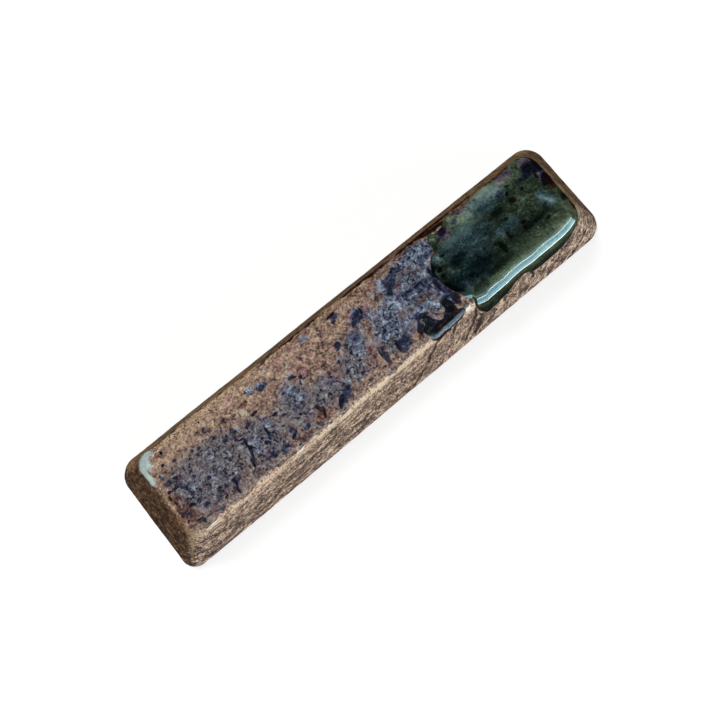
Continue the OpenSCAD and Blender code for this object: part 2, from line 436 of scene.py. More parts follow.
# Outlines of the large glazes, as places
POOL_OUTLINE = [
    (12.3, -0.4), (12.6, -2), (13.2, -3.4), (13.9, -4.3), (14.7, -5), (14.4, -6.4), (14.7, -8.6),
    (15.3, -10), (16.6, -9.7), (18.2, -9.3), (19.6, -8.9), (20.7, -8), (21.9, -7.6), (22.8, -8),
    (23.6, -9), (25.2, -9.3), (27.4, -9.1), (29.4, -8.7), (31.2, -7.5), (32.6, -6.5), (33.4, -5.3),
    (33.7, -3.6), (33.6, -0.4), (33.8, 2.6), (33.5, 4.6), (32.5, 6), (30.4, 6.5), (27.8, 6.1), (25, 6.6),
    (23.2, 6.1), (21.6, 5.6), (20.1, 6), (18.9, 6.2), (18, 5.3), (16.6, 5), (15.6, 5.5), (14.9, 4.8),
    (14.7, 3.4), (13.6, 3), (12.8, 2.2), (12.2, 1)
]
FIELD_OUTLINE = [
    (-33.6, -4.6), (-31.6, -6), (-28, -5.7), (-25.5, -6.2), (-22, -5.6), (-18.5, -6), (-14, -5.9),
    (-10, -5.5), (-8, -6.1), (-6, -5.5), (-2, -5.5), (0.2, -6), (2.5, -5.8), (5, -5.7), (7, -5.8),
    (12.8, -5.4), (15.5, -2.5), (15.5, 4.8), (13, 6), (9, 6.1), (5, 5.8), (1, 6.1), (-3, 6), (-7, 6.3),
    (-11, 5.6), (-16, 5.8), (-20, 5.4), (-25, 5.6), (-30, 5.8), (-32.2, 5), (-33.1, 3.2), (-33.1, 0.6),
    (-33.9, -1.2), (-33.5, -3)
]
BEAD_OUTLINE = [
    (7, -6), (6.2, -5.1), (6.2, -4.2), (6.8, -3.2), (7.8, -2.3), (8.8, -2.9), (9.5, -4), (10.3, -3.6),
    (10.6, -2.6), (11.8, -2.4), (12.6, -3.4), (12.7, -4.6), (12.6, -5.8), (11.2, -6.4), (9.4, -6.6),
    (7.8, -6.8)
]


# Materials

def srgb(red, green, blue):
    """Linear colour from screen values."""
    def linear(value):
        value = value / 255
        return value / 12.92 if value <= 0.04045 else ((value + 0.055) / 1.055) ** 2.4
    return (linear(red), linear(green), linear(blue), 1.0)


def add_node(tree, kind, inputs, **settings):
    """New node of a tree. Inputs are given by number or name, each a value or a socket."""
    node = tree.nodes.new("ShaderNode" + kind)
    for name, value in settings.items():
        setattr(node, name, value)
    for key, value in inputs.items():
        if isinstance(value, bpy.types.NodeSocket):
            tree.links.new(value, node.inputs[key])
        else:
            node.inputs[key].default_value = value
    return node


def fresh_tree(owner):
    owner.use_nodes = True
    owner.node_tree.nodes.clear()
    return owner.node_tree


class Shader:
    """A material's nodes, written as calls. Lengths are in millimetres."""

    def __init__(self, name):
        self.material = bpy.data.materials.new(name)
        self.tree = fresh_tree(self.material)
        metres = self.node("TexCoord", {}).outputs["Object"]
        self.place = self.node("VectorMath", {0: metres, "Scale": 1 / MM},
                               operation="SCALE").outputs[0]

    def node(self, kind, inputs, **settings):
        return add_node(self.tree, kind, inputs, **settings)

    def math(self, operation, first, second=0.0):
        return self.node("Math", {0: first, 1: second}, operation=operation).outputs[0]

    def add(self, *terms):
        total = terms[0]
        for term in terms[1:]:
            total = self.math("ADD", total, term)
        return total

    def times(self, *terms):
        total = terms[0]
        for term in terms[1:]:
            total = self.math("MULTIPLY", total, term)
        return total

    def weigh(self, start, *pairs):
        """A start value plus each value times its weight."""
        return self.add(start, *[self.times(value, weight) for value, weight in pairs])

    def sways(self, *pairs):
        """Sum of noises about zero, each times its amount."""
        return self.add(*[self.times(self.add(noise, -0.5), amount) for noise, amount in pairs])

    def shades(self, *names):
        """Values that the mesh carries."""
        return [self.node("Attribute", {}, attribute_name=name).outputs["Fac"] for name in names]

    def above(self, value, low, high):
        """0 under low, 1 over high, smooth between."""
        return self.node("MapRange", {"Value": value, "From Min": low, "From Max": high},
                         interpolation_type="SMOOTHSTEP").outputs["Result"]

    def blend(self, share, first, second, how="MIX"):
        return self.node("Mix", {0: share, 6: first, 7: second}, data_type="RGBA",
                         blend_type=how).outputs[2]

    def washes(self, colour, *layers):
        """A colour with others over it, each given by its share, an amount, and how to mix it."""
        for share, amount, paint, *how in layers:
            colour = self.blend(self.times(share, amount), colour, paint, *how)
        return colour

    def ramp(self, tone, stops):
        """Colour of a tone, between stops of a tone and a screen colour each."""
        node = self.node("ValToRGB", {0: tone})
        elements = node.color_ramp.elements
        elements[0].position, elements[1].position = stops[0][0], stops[-1][0]
        for stop in stops[1:-1]:
            elements.new(stop[0])
        for element, stop in zip(elements, stops):
            element.color = srgb(*stop[1])
        return node.outputs[0]

    def noise(self, size, detail=3.0, roughness=0.55, place=None, bend=0.0, shift=0.0):
        return self.node("TexNoise", {
            "Vector": place or self.place, "W": shift, "Scale": 1 / size, "Detail": detail,
            "Roughness": roughness, "Distortion": bend}, noise_dimensions="4D").outputs["Fac"]

    def wandering(self, size, amount):
        """Place moved by noise, for dots and lines that aren't quite regular."""
        noise = self.node("TexNoise", {"Vector": self.place, "Scale": 1 / size, "Detail": 2.0})
        return self.node("VectorMath", {0: noise.outputs["Color"], 1: (amount, amount, amount),
                                        2: self.place}, operation="MULTIPLY_ADD").outputs[0]

    def turned(self, turns, stretch, place=None):
        """Place turned by degrees about x, y and z, then stretched: more makes marks shorter."""
        spin = self.node("Mapping", {"Vector": place or self.place,
                                     "Rotation": [math.radians(turn) for turn in turns]})
        return self.node("VectorMath", {0: spin.outputs[0], 1: stretch},
                         operation="MULTIPLY").outputs[0]

    def dots(self, size, radius, share, turn=0):
        """Dots up to one radius, at a share of scattered points, 1 inside."""
        place = self.turned((turn, turn / 2, turn), (1, 1, 1), self.wandering(0.5, 0.35))
        cells = self.node("TexVoronoi", {"Vector": place, "Scale": 1 / size})
        parts = self.node("SeparateColor", {0: cells.outputs["Color"]})
        chosen = self.math("LESS_THAN", parts.outputs[0], share)
        grown = self.times(self.add(parts.outputs[1], 0.35), radius / size)
        near = self.math("SUBTRACT", grown, cells.outputs["Distance"])
        return self.times(chosen, self.above(near, -0.05, 0.10))

    def threads(self, size, width, place, shift):
        """Thin lines where a noise passes its middle."""
        apart = self.math("ABSOLUTE", self.add(self.noise(size, 2.0, 0.5, place, 0.4, shift), -0.5))
        return self.above(apart, width, 0.0)

    def coordinate(self, axis):
        return self.node("SeparateXYZ", {0: self.place}).outputs[axis]

    def marks(self, names, *frays):
        """Given shades, 1 inside, whose rims fray with some noises."""
        fray = self.sways(*[(noise, 0.8) for noise in frays])
        return [self.above(self.add(shade, fray), -0.25, 0.35) for shade in self.shades(*names)]

    def finish(self, colour, roughness, height, depth, gloss=0.5, coat=0.0, coat_roughness=0.05):
        bump = self.node("Bump", {"Strength": 1.0, "Distance": depth * MM, "Height": height})
        surface = self.node("BsdfPrincipled", {
            "Base Color": colour, "Roughness": roughness, "Specular IOR Level": gloss,
            "Coat Weight": coat, "Coat Roughness": coat_roughness, "Normal": bump.outputs[0]})
        self.node("OutputMaterial", {0: surface.outputs[0]})
        return self.material


# Colours of the glazes by their tone, from dark to light
WARM = ((0.15, (24, 14, 20)), (0.35, (80, 56, 54)), (0.50, (134, 109, 95)),
        (0.62, (170, 143, 122)), (0.82, (222, 196, 166)))
COOL = ((0.15, (18, 12, 28)), (0.35, (48, 43, 60)), (0.50, (95, 92, 98)),
        (0.62, (126, 123, 125)), (0.82, (172, 178, 186)))
BLUE = ((0.15, (14, 11, 34)), (0.35, (42, 44, 74)), (0.50, (80, 92, 116)),
        (0.62, (112, 130, 154)), (0.82, (184, 202, 220)))
CREAM = ((0.12, (28, 15, 16)), (0.34, (80, 56, 48)), (0.50, (138, 109, 93)),
         (0.62, (184, 153, 128)), (0.80, (234, 210, 182)))
KILN = ((0.15, (22, 13, 11)), (0.38, (58, 37, 29)), (0.50, (92, 64, 50)),
        (0.64, (124, 96, 70)), (0.85, (192, 162, 120)))
GREEN = ((0.10, (2, 6, 6)), (0.30, (13, 23, 18)), (0.50, (36, 47, 36)),
         (0.66, (66, 80, 62)), (0.88, (126, 140, 116)))
TEAL = ((0.10, (1, 7, 9)), (0.30, (13, 27, 29)), (0.50, (39, 57, 61)),
        (0.66, (70, 92, 94)), (0.88, (130, 152, 150)))
RUSTY = (1.0, 0.64, 0.48, 1.0)
VIOLET = (0.94, 0.74, 1.0, 1.0)


def clay_material():
    s = Shader("bare_clay")
    grain = s.noise(0.35, 5, 0.7)
    patch = s.noise(5.0, 3, 0.5)
    grit = s.dots(0.9, 0.26, 0.4)
    pits = s.dots(1.3, 0.3, 0.35, 50)
    tone = s.weigh(s.add(0.62, s.sways((grain, 0.7), (patch, 0.4))), (grit, -0.2), (pits, -0.12))
    height = s.weigh(grain, (grit, 0.5), (pits, -1.2))
    return s.finish(s.ramp(tone, WARM), s.weigh(0.75, (grain, 0.2)), height, 0.06, gloss=0.2)


def wall_tone(s):
    """Tone and height of the streaks down the near side, finer and steeper by the green end."""
    along = s.above(s.coordinate(0), -14.0, 24.0)
    fine = s.noise(0.27, 2, 0.6)
    grain = s.noise(0.5, 3, 0.6, shift=6.0)
    plain_streaks = s.noise(0.8, 4, 0.7, s.turned((0, 6, 0), (0.36, 1.0, 1.1)), 0.4)
    green_streaks = s.noise(0.8, 4, 0.68, s.turned((0, 52, 0), (0.42, 1.0, 1.2)), 0.4, 3.0)
    specks = s.dots(0.7, 0.22, 0.45)
    streaks = s.add(s.times(s.sways((plain_streaks, 2.1)), s.weigh(1.0, (along, -1.0))),
                    s.times(s.sways((green_streaks, 2.1)), along))
    fibre = s.weigh(s.sways((grain, 0.9), (fine, 1.5)), (specks, -0.18))
    return streaks, fibre, fine, s.weigh(s.add(streaks, grain, fine), (specks, -0.3))


def coat_material():
    s = Shader("speckled_coat")
    near, down, flat, far, crest = s.shades("near", "down", "flat", "far", "crest")
    far_crest, khaki, orange, olive = s.shades("far_crest", "khaki", "orange", "olive")
    along = s.coordinate(0)
    plain = s.above(along, -8.0, -18.0)
    ragged = s.noise(1.1, 4, 0.65)
    streaks, fibre, fine, height = wall_tone(s)
    rust, dark, painted_glint = s.marks(("rust", "dark", "painted_glint"), ragged, fine)

    wall_foot = s.weigh(-0.075, (s.above(along, -14.0, 10.0), 0.045))
    # The crest's lighter tone is partly the glaze breaking pale, partly a painted sheen
    near_tone = s.weigh(0.563, (streaks, s.weigh(0.5, (down, 0.5))),
                        (fibre, s.weigh(1.0, (crest, -0.35))), (down, wall_foot), (crest, 0.16),
                        (dark, -0.3))
    # The far side and plain end are darker: partly their glaze, partly painted shade
    kiln_and_shade_tone = s.weigh(s.add(0.515, s.sways((ragged, 0.55))), (streaks, 0.45),
                        (fibre, s.weigh(0.8, (far, -0.25))), (rust, -0.10),
                        (far, s.weigh(0.09, (plain, 0.05))), (dark, -0.35),
                        (s.above(along, 32.8, 34.2), 0.05))
    top_tone = s.weigh(s.add(0.51, s.sways((ragged, 0.7))), (near, -0.10), (fibre, 0.9),
                       (dark, -0.4), (rust, -0.09), (far_crest, s.weigh(0.08, (plain, 0.15))))
    colour = s.blend(near, s.ramp(kiln_and_shade_tone, KILN), s.ramp(near_tone, CREAM))
    worn = s.above(s.weigh(s.add(ragged, s.sways((fine, 0.8))), (plain, 0.1)), 0.32, 0.54)
    topped = s.math("MAXIMUM", flat, s.times(far_crest, worn))
    colour = s.blend(topped, colour, s.ramp(top_tone, WARM))

    pale = s.times(khaki, s.above(s.add(ragged, s.sways((fine, 0.9))), 0.34, 0.58))
    burnt = s.times(orange, s.above(ragged, 0.36, 0.6))
    green = s.times(olive, s.above(s.add(ragged, s.sways((fine, 0.6))), 0.30, 0.60))
    # The near-white wash of the glint marks is a painted highlight; the spots also get low roughness and
    # a coat
    colour = s.washes(colour, (pale, 0.85, srgb(160, 132, 90)), (burnt, 0.7, srgb(124, 78, 46)),
                      (rust, 0.4, RUSTY, "MULTIPLY"), (painted_glint, 0.8, srgb(226, 230, 232)),
                      (green, 0.9, srgb(112, 98, 58)))
    roughness = s.weigh(0.42, (fine, 0.3), (khaki, -0.2), (painted_glint, -0.3))
    gloss = s.weigh(0.10, (near, 0.08), (flat, 0.06), (khaki, 0.2))
    return s.finish(colour, roughness, height, 0.2, gloss, coat=s.times(painted_glint, 0.9),
                    coat_roughness=0.06)


def glaze_colour(s, paleness=0.0, coolness=0.0, contrast=1.0):
    """Colour, height and grain of the iron glaze, which run on over what lies on it."""
    cloud = s.noise(2.8, 3, 0.55, bend=0.5)
    ragged = s.noise(1.1, 4, 0.65)
    grain = s.noise(0.52, 3, 0.6, shift=7.0)
    fine = s.noise(0.28, 2, 0.6)
    tan, blue, crystal = s.shades("tan", "blue", "crystal")
    dark, navy, sky, rust, cream = s.marks(("dark", "navy", "sky", "rust", "cream"), ragged, fine)
    clots = s.above(s.noise(0.62, 4, 0.66, bend=0.8, shift=9.0), 0.54, 0.62)
    black_dots = s.dots(1.2, 0.24, 0.45, 40)
    brown_dots = s.dots(0.62, 0.22, 0.45, 20)
    flecks = s.dots(0.8, 0.17, 0.3, 70)
    slanted = s.turned((0, 0, -42), (0.6, 1.2, 1.0), s.wandering(0.8, 0.4))
    grown = s.above(s.add(crystal, s.sways((ragged, 1.2))), 0.25, 0.75)
    needles = s.times(s.threads(0.55, 0.035, slanted, 1.0), grown)

    coolish = s.weigh(s.add(blue, coolness), (tan, -0.9), (navy, 0.7), (sky, 0.7), (dark, 0.5))
    mottled = s.sways((cloud, 1.4), (ragged, 1.6), (grain, 1.5), (fine, 1.2))
    cool = s.above(s.add(coolish, mottled), -0.15, 1.0)
    x, y = s.coordinate(0), s.coordinate(1)
    far_left = s.times(s.above(y, 2.8, 5.2), s.above(x, 6.0, -20.0))
    near_edge = s.above(y, -4.1, -5.3)
    grainy = s.sways((ragged, 0.5), (grain, 0.7), (fine, 0.8))
    dotted = s.weigh(grainy, (black_dots, s.times(s.add(cool, 0.2), -0.24)), (brown_dots, -0.08),
                     (flecks, 0.12), (clots, s.times(s.add(cool, 0.36), -0.27)))
    tone = s.weigh(0.528 + paleness, (dotted, contrast), (far_left, 0.10), (near_edge, -0.035),
                   (dark, -0.42), (navy, -0.17), (sky, 0.10), (cream, 0.08), (rust, -0.12),
                   (needles, 0.13))
    blueness = s.weigh(s.add(coolness, s.sways((ragged, 1.4), (grain, 1.2))), (crystal, 0.6),
                       (navy, 0.5), (sky, 0.8), (clots, s.times(s.add(cool, 0.25), 0.6)), (blue, 0.3))
    violet = s.above(s.noise(1.4, 3, 0.6, shift=5.0), 0.50, 0.66)

    colour = s.washes(s.blend(cool, s.ramp(tone, WARM), s.ramp(tone, COOL)),
                      (s.above(blueness, 0.40, 1.0), 0.75, s.ramp(tone, BLUE)),
                      (violet, 0.6, VIOLET, "MULTIPLY"), (rust, 0.5, RUSTY, "MULTIPLY"),
                      (cream, 0.35, srgb(164, 162, 136)))
    height = s.weigh(s.add(grain, fine), (ragged, 0.6), (needles, 0.4), (black_dots, -0.5),
                     (s.math("MAXIMUM", dark, clots), -0.4))
    return colour, height, fine


def field_material():
    s = Shader("iron_glaze")
    colour, height, fine = glaze_colour(s)
    return s.finish(colour, s.weigh(0.25, (fine, 0.4)), height, 0.22, gloss=0.12, coat=0.06,
                    coat_roughness=0.10)


def pool_material():
    s = Shader("green_glass")
    cloud = s.noise(2.6, 4, 0.6, bend=0.6)
    ragged = s.noise(0.9, 4, 0.62)
    fine = s.noise(0.36, 3, 0.65)
    wisp = s.noise(1.2, 4, 0.62, s.turned((0, 0, 24), (0.35, 1.2, 1.0)), 0.5)
    dark, navy, rust, violet = s.marks(("dark", "navy", "rust", "violet"), ragged, fine)
    light, glow, teal, deep = s.shades("light", "glow", "teal", "deep")
    specks = s.dots(0.9, 0.20, 0.35)
    bubbles = s.dots(0.9, 0.10, 0.22, 50)
    scratch = s.times(s.threads(2.2, 0.006, s.turned((0, 0, 35), (0.4, 1.0, 1.0)), 4.0),
                      s.above(s.noise(1.8, 2, shift=8.0), 0.56, 0.62))
    murky = s.sways((cloud, 0.30), (ragged, 0.55), (fine, 0.80), (wisp, 0.50))
    # glow lifts the tone; by the near margin that is partly a painted glow of the highlight
    tone = s.weigh(0.465, (murky, s.weigh(1.0, (glow, -0.6))), (light, 0.20), (glow, 0.23),
                   (deep, -0.26), (dark, -0.30), (navy, -0.26), (violet, -0.08), (rust, -0.14),
                   (specks, -0.14), (bubbles, 0.14), (scratch, 0.2))
    marked_tone = s.add(tone, 0.02)
    cool = s.above(s.add(teal, s.sways((cloud, 0.8), (ragged, 0.9))), 0.15, 0.9)
    colour = s.washes(s.blend(cool, s.ramp(tone, GREEN), s.ramp(tone, TEAL)),
                      (navy, 0.35, s.ramp(tone, BLUE)), (violet, 0.6, s.ramp(marked_tone, COOL)),
                      (violet, 0.7, VIOLET, "MULTIPLY"), (rust, 0.8, s.ramp(marked_tone, KILN)),
                      (rust, 0.5, RUSTY, "MULTIPLY"))
    roughness = s.weigh(0.05, (fine, 0.05), (scratch, 0.3))
    height = s.weigh(cloud, (bubbles, 0.1), (scratch, -0.1))
    return s.finish(colour, roughness, height, 0.014, gloss=0.55, coat=0.7, coat_roughness=0.03)


def bead_material():
    s = Shader("dark_glass")
    ragged = s.noise(1.1, 4, 0.65)
    colour, height, fine = glaze_colour(s, -0.15, 0.5)
    amber, olive = s.marks(("amber", "olive"), ragged, fine)
    murk = s.above(s.add(*s.shades("murk"), s.sways((ragged, 2.0), (fine, 1.4))), -0.4, 0.5)
    deep_tone = s.weigh(s.add(0.15, s.sways((ragged, 0.6), (fine, 0.6))), (olive, 0.25))
    colour = s.washes(colour, (murk, 0.9, s.ramp(deep_tone, GREEN)),
                      (amber, 0.7, s.ramp(s.add(deep_tone, 0.16), KILN)))
    return s.finish(colour, s.weigh(0.10, (fine, 0.15)), height, 0.015, gloss=0.25, coat=0.25,
                    coat_roughness=0.03)


def crust_material():
    s = Shader("blue_crystal")
    colour, height, fine = glaze_colour(s, -0.05, 0.35)
    return s.finish(colour, s.weigh(0.22, (fine, 0.35)), height, 0.22, gloss=0.15, coat=0.1,
                    coat_roughness=0.10)


def celadon_material():
    s = Shader("celadon")
    ragged = s.noise(0.6, 4, 0.65)
    fine = s.noise(0.26, 3, 0.66)
    core = s.above(s.add(*s.shades("inside"), s.sways((ragged, 0.9), (fine, 0.5))), -0.05, 0.35)
    rim_tone = s.add(0.52, s.sways((ragged, 0.7), (fine, 0.8)))
    colour = s.blend(s.above(ragged, 0.4, 0.62), srgb(164, 187, 191), srgb(195, 206, 195))
    colour = s.blend(core, s.ramp(rim_tone, WARM), colour)
    return s.finish(colour, s.weigh(0.18, (fine, 0.15)), s.add(ragged, fine), 0.05,
                    gloss=0.5, coat=0.3, coat_roughness=0.08)


def run_material():
    s = Shader("run_glaze")
    streaks, fibre, fine, height = wall_tone(s)
    thick = s.above(s.add(*s.shades("inside"), fibre), -0.1, 0.6)
    tone = s.weigh(s.add(0.50, fibre), (streaks, 0.8), (thick, -0.22))
    colour = s.blend(thick, s.ramp(tone, CREAM), s.ramp(tone, KILN))
    return s.finish(colour, s.weigh(0.40, (fine, 0.3)), height, 0.2, gloss=0.15)


def blister_material():
    s = Shader("blister_glaze")
    colour, height, fine = glaze_colour(s, -0.04, 0.5, 0.7)
    return s.finish(colour, s.weigh(0.18, (fine, 0.25)), height, 0.05, gloss=0.35, coat=0.2,
                    coat_roughness=0.08)


# Rows for spots and areas. Beyond the flat top, y runs on down the sides

# On the coat: soft khaki and orange parts, rusty and dark marks, and white painted glints
COAT_KHAKI = [
    (-36.2, -7.7, 2.8, 0.6, 45), (-31, 6.4, 2.4, 0.4), (-24.2, 6.3, 1.6, 0.4), (-17, 6.4, 2, 0.35),
    (34.2, 0, 0.6, 6.6), (-34, -5.4, 0.6, 1.6, 10)
]
COAT_ORANGE = [
    (-33, -5.1, 0.6, 0.6), (-38.2, -10.2, 1.2, 1.2, 45), (-34.6, 3.4, 0.5, 2.2), (-34.8, -3, 0.4, 3),
    (28.6, 6.6, 1.8, 0.5), (33.7, 1, 0.3, 1), (36, 0, 0.6, 6)
]
COAT_OLIVE = [
    (25, 6.5, 2.4, 0.8), (31.6, 6.4, 2.2, 0.8), (33.8, 3.6, 0.5, 2), (33.8, -3.4, 0.5, 2.4),
    (33.6, -5.4, 0.7, 0.9)
]
COAT_RUST = [
    (-9, 6.8, 3, 0.3), (3.6, 6.7, 4, 0.35), (17, 6.4, 7, 0.8), (-26, -6.9, 5, 0.16, 4),
    (29, 6.6, 2.4, 0.6), (33.8, 0.4, 0.4, 1.4), (33.8, -2.4, 0.4, 0.8), (-21, -7.2, 4, 0.12, -3),
    (-34, -1.5, 0.5, 3.4)
]
COAT_PAINTED_GLINTS = [
    (-30.6, -6.2, 0.8, 0.15, 8), (-31.4, -5.8, 0.4, 0.1, 40), (-15.8, -6.3, 0.6, 0.17, 10),
    (-7.7, -6, 0.7, 0.2, 8), (-0.1, -6.2, 0.24, 0.16), (0.6, -5.9, 0.3, 0.12, 40),
    (-25.8, -6.1, 0.16, 0.26, 20), (-5.6, -6, 0.4, 0.1, 10), (-10.6, -6.1, 0.7, 0.1, 6),
    (-33.7, -0.7, 0.25, 0.12), (13.2, -5.6, 0.7, 0.3)
]
COAT_DARK = [
    (-11.5, 6.8, 1.6, 0.2), (-7.4, 6.6, 1.7, 0.3), (-27.3, 7, 1, 0.2), (-16, 6.8, 0.7, 0.16),
    (-22.6, 7.1, 0.9, 0.2), (-19.6, 7, 0.7, 0.2), (-4, 6.7, 1.6, 0.3), (3.6, 6.8, 2.2, 0.4),
    (7.2, 6.6, 2.6, 0.5), (11.5, 6.4, 1.2, 0.35), (14.2, 6.5, 1.8, 0.45), (-28.4, -6.7, 1.2, 0.1, 8),
    (18, 6.9, 3, 0.5), (-12.6, 6.3, 1.4, 0.14), (-29.5, 7.1, 2, 0.14), (22.4, 6.6, 1.6, 0.4),
    (16.4, 5.8, 2, 0.4), (-0.3, -5.9, 0.4, 0.4), (10.8, -6.7, 0.5, 0.12)
]

# On the field: dark, navy, pale blue, rusty and cream marks
FIELD_DARK = [
    (-32.5, 0.6, 0.26, 0.22), (-32.9, -0.1, 0.18, 0.35), (-32.6, -1, 0.18, 0.36, 30),
    (-31.1, -2.65, 0.5, 0.2, -20), (-30.6, 1.5, 0.26, 0.24), (-30.9, 3.8, 0.25, 0.22),
    (-30.3, 5.5, 0.18, 0.3), (-27, -3.15, 0.2, 0.18), (-32.8, -4, 0.22, 0.2), (-31.6, -4.7, 0.6, 0.16),
    (-31.2, -5.2, 0.25, 0.35), (-30.3, -5.1, 0.5, 0.1, 5), (-27, -4.6, 0.26, 0.18, 20),
    (-21, 0.05, 0.4, 0.12), (-20.7, -0.7, 0.13, 0.5), (-20.75, -1.5, 0.18, 0.5),
    (-20.8, -2.4, 0.22, 0.5, -25), (-21.3, -3.1, 0.2, 0.5, -42), (-21.8, -3.8, 0.22, 0.35, -40),
    (-17.8, -1.4, 0.28, 0.7, -5), (-18, -2.1, 0.2, 0.3), (-18.7, -2.5, 0.25, 0.3),
    (-15.3, -4.1, 0.45, 0.28, 25), (-15.3, -5.5, 0.22, 0.12), (-16.9, -3.35, 0.22, 0.16, -20),
    (-18.4, -3.6, 0.2, 0.2), (-25.1, -4.5, 0.18, 1, -18), (-22.4, -1.8, 0.2, 0.1),
    (-23.8, 5.3, 0.18, 0.14), (-17.5, 1.7, 0.5, 0.14, 12), (-15.4, -0.1, 0.36, 0.26),
    (-7.75, -4.55, 0.95, 0.36, 50), (-5.8, -3.5, 0.36, 0.26, 20), (-10.3, -4.3, 0.18, 0.7, -25),
    (-10.6, -3.3, 0.16, 0.4, -20), (-11.4, -4.2, 0.2, 0.14), (-12.3, 0.4, 0.26, 0.12),
    (-12.8, -2.4, 0.16, 0.16), (-9.5, -2, 0.26, 0.12), (-8.1, -2.85, 0.18, 0.12),
    (-4.7, -0.1, 0.3, 0.14, -30), (-3.5, 1.35, 0.45, 0.22, 25), (-10.4, 1.75, 0.36, 0.12, -20),
    (-9.7, 1.4, 0.22, 0.26), (-1.6, 5.35, 0.6, 0.2, 5), (-1.7, 4.35, 0.4, 0.2),
    (-3, -3.4, 0.36, 0.14, -20), (-2.3, -1.9, 0.3, 0.16, -20), (0.2, 2.4, 0.55, 0.26, 35),
    (1.5, 2.6, 0.5, 0.3, 20), (2.1, 3.3, 0.2, 0.5), (2.85, -3.7, 0.26, 0.7), (3.2, -4.7, 0.4, 0.3, -20),
    (-2.3, 0.15, 0.5, 0.12), (6.6, -3.6, 0.4, 0.8, -20), (8, -2.7, 0.7, 0.4), (11.6, -2.7, 0.8, 0.3),
    (12.9, -3.6, 0.5, 1, 10), (-2.6, -0.5, 0.2, 0.3), (7.4, 3.3, 0.6, 0.4), (9.5, 4.1, 0.5, 0.22, -20),
    (6.5, 2.7, 0.3, 0.4), (8.4, 1.3, 0.3, 0.16), (10, 1.05, 0.55, 0.14, 5), (-1, -4, 0.16, 0.16),
    (0.3, -2.9, 0.14, 0.6), (12.4, 1.2, 0.3, 0.8), (12.2, -0.5, 0.3, 0.8), (12.9, -2.9, 0.25, 0.5, 20)
]
FIELD_NAVY = [
    (-32.1, 2.7, 0.3, 0.35), (-31.7, 1.5, 0.5, 0.42, -20), (-31.4, 0.4, 1, 0.22, -4),
    (-30.6, -0.1, 0.5, 0.22, -25), (-30.2, -0.6, 0.3, 0.26), (-32.6, -2.75, 0.7, 0.22, 8),
    (-32.3, -3.2, 0.5, 0.18, 5), (-29.5, -3.8, 0.4, 0.4), (-30.1, -2.8, 0.4, 0.26, 20),
    (-28.8, 0.3, 0.32, 0.22), (-27.9, -4.3, 0.55, 0.3, 20), (-28.9, -5.4, 0.45, 0.16),
    (-28.3, -5.7, 0.28, 0.26), (-26.8, 2.9, 0.24, 0.2), (-29.3, 3.4, 0.4, 0.26), (-26.2, -3.6, 0.3, 0.3),
    (-24.1, -0.7, 0.5, 0.14, -25), (-23.8, -1.2, 0.4, 0.1), (-21.3, 3.4, 0.3, 0.24),
    (-20.3, 2.8, 0.24, 0.18), (-23.6, 2.3, 0.3, 0.3), (-14.6, 3.7, 0.8, 0.5), (-23.7, 4, 0.6, 0.35),
    (-25, 4.3, 0.6, 0.3), (-21.3, 1.5, 0.5, 0.5), (-22.6, 1.2, 0.6, 0.3), (-24.7, -3.9, 0.6, 0.6),
    (-15, -3.4, 0.5, 0.5), (-11.6, -5, 0.4, 0.36), (-9.4, 1, 0.5, 0.14), (-10.9, 2.1, 0.5, 0.3, -20),
    (-12.8, -1.4, 0.5, 0.5), (-13.2, -4.2, 0.6, 0.5), (-6.7, -4.2, 0.9, 0.6, 45),
    (-3.3, 1.7, 0.6, 0.4, 20), (-1.3, 4.85, 0.6, 0.36), (-3.5, -2.6, 0.22, 0.18),
    (1.2, 2.8, 1.1, 0.6, 25), (3.9, -3.7, 1, 1.1), (0.6, -3.6, 0.36, 1.3), (2.5, -1, 0.6, 0.36, 40),
    (7.3, 3.6, 1, 0.7), (8.3, 4.5, 1.6, 0.45, 8), (6.6, 2.8, 0.55, 0.7), (8.6, 1, 0.8, 0.5),
    (10.6, 0.6, 1.3, 0.7), (7.4, -2.3, 0.7, 0.6), (13.4, 3.4, 1.4, 0.4, 5), (12.3, 2.6, 0.5, 0.5),
    (12.2, -2, 0.9, 1.4), (12.6, 0.4, 0.5, 1.6), (-18.8, -4.2, 0.5, 0.5), (-17.2, -4.6, 0.7, 0.4)
]
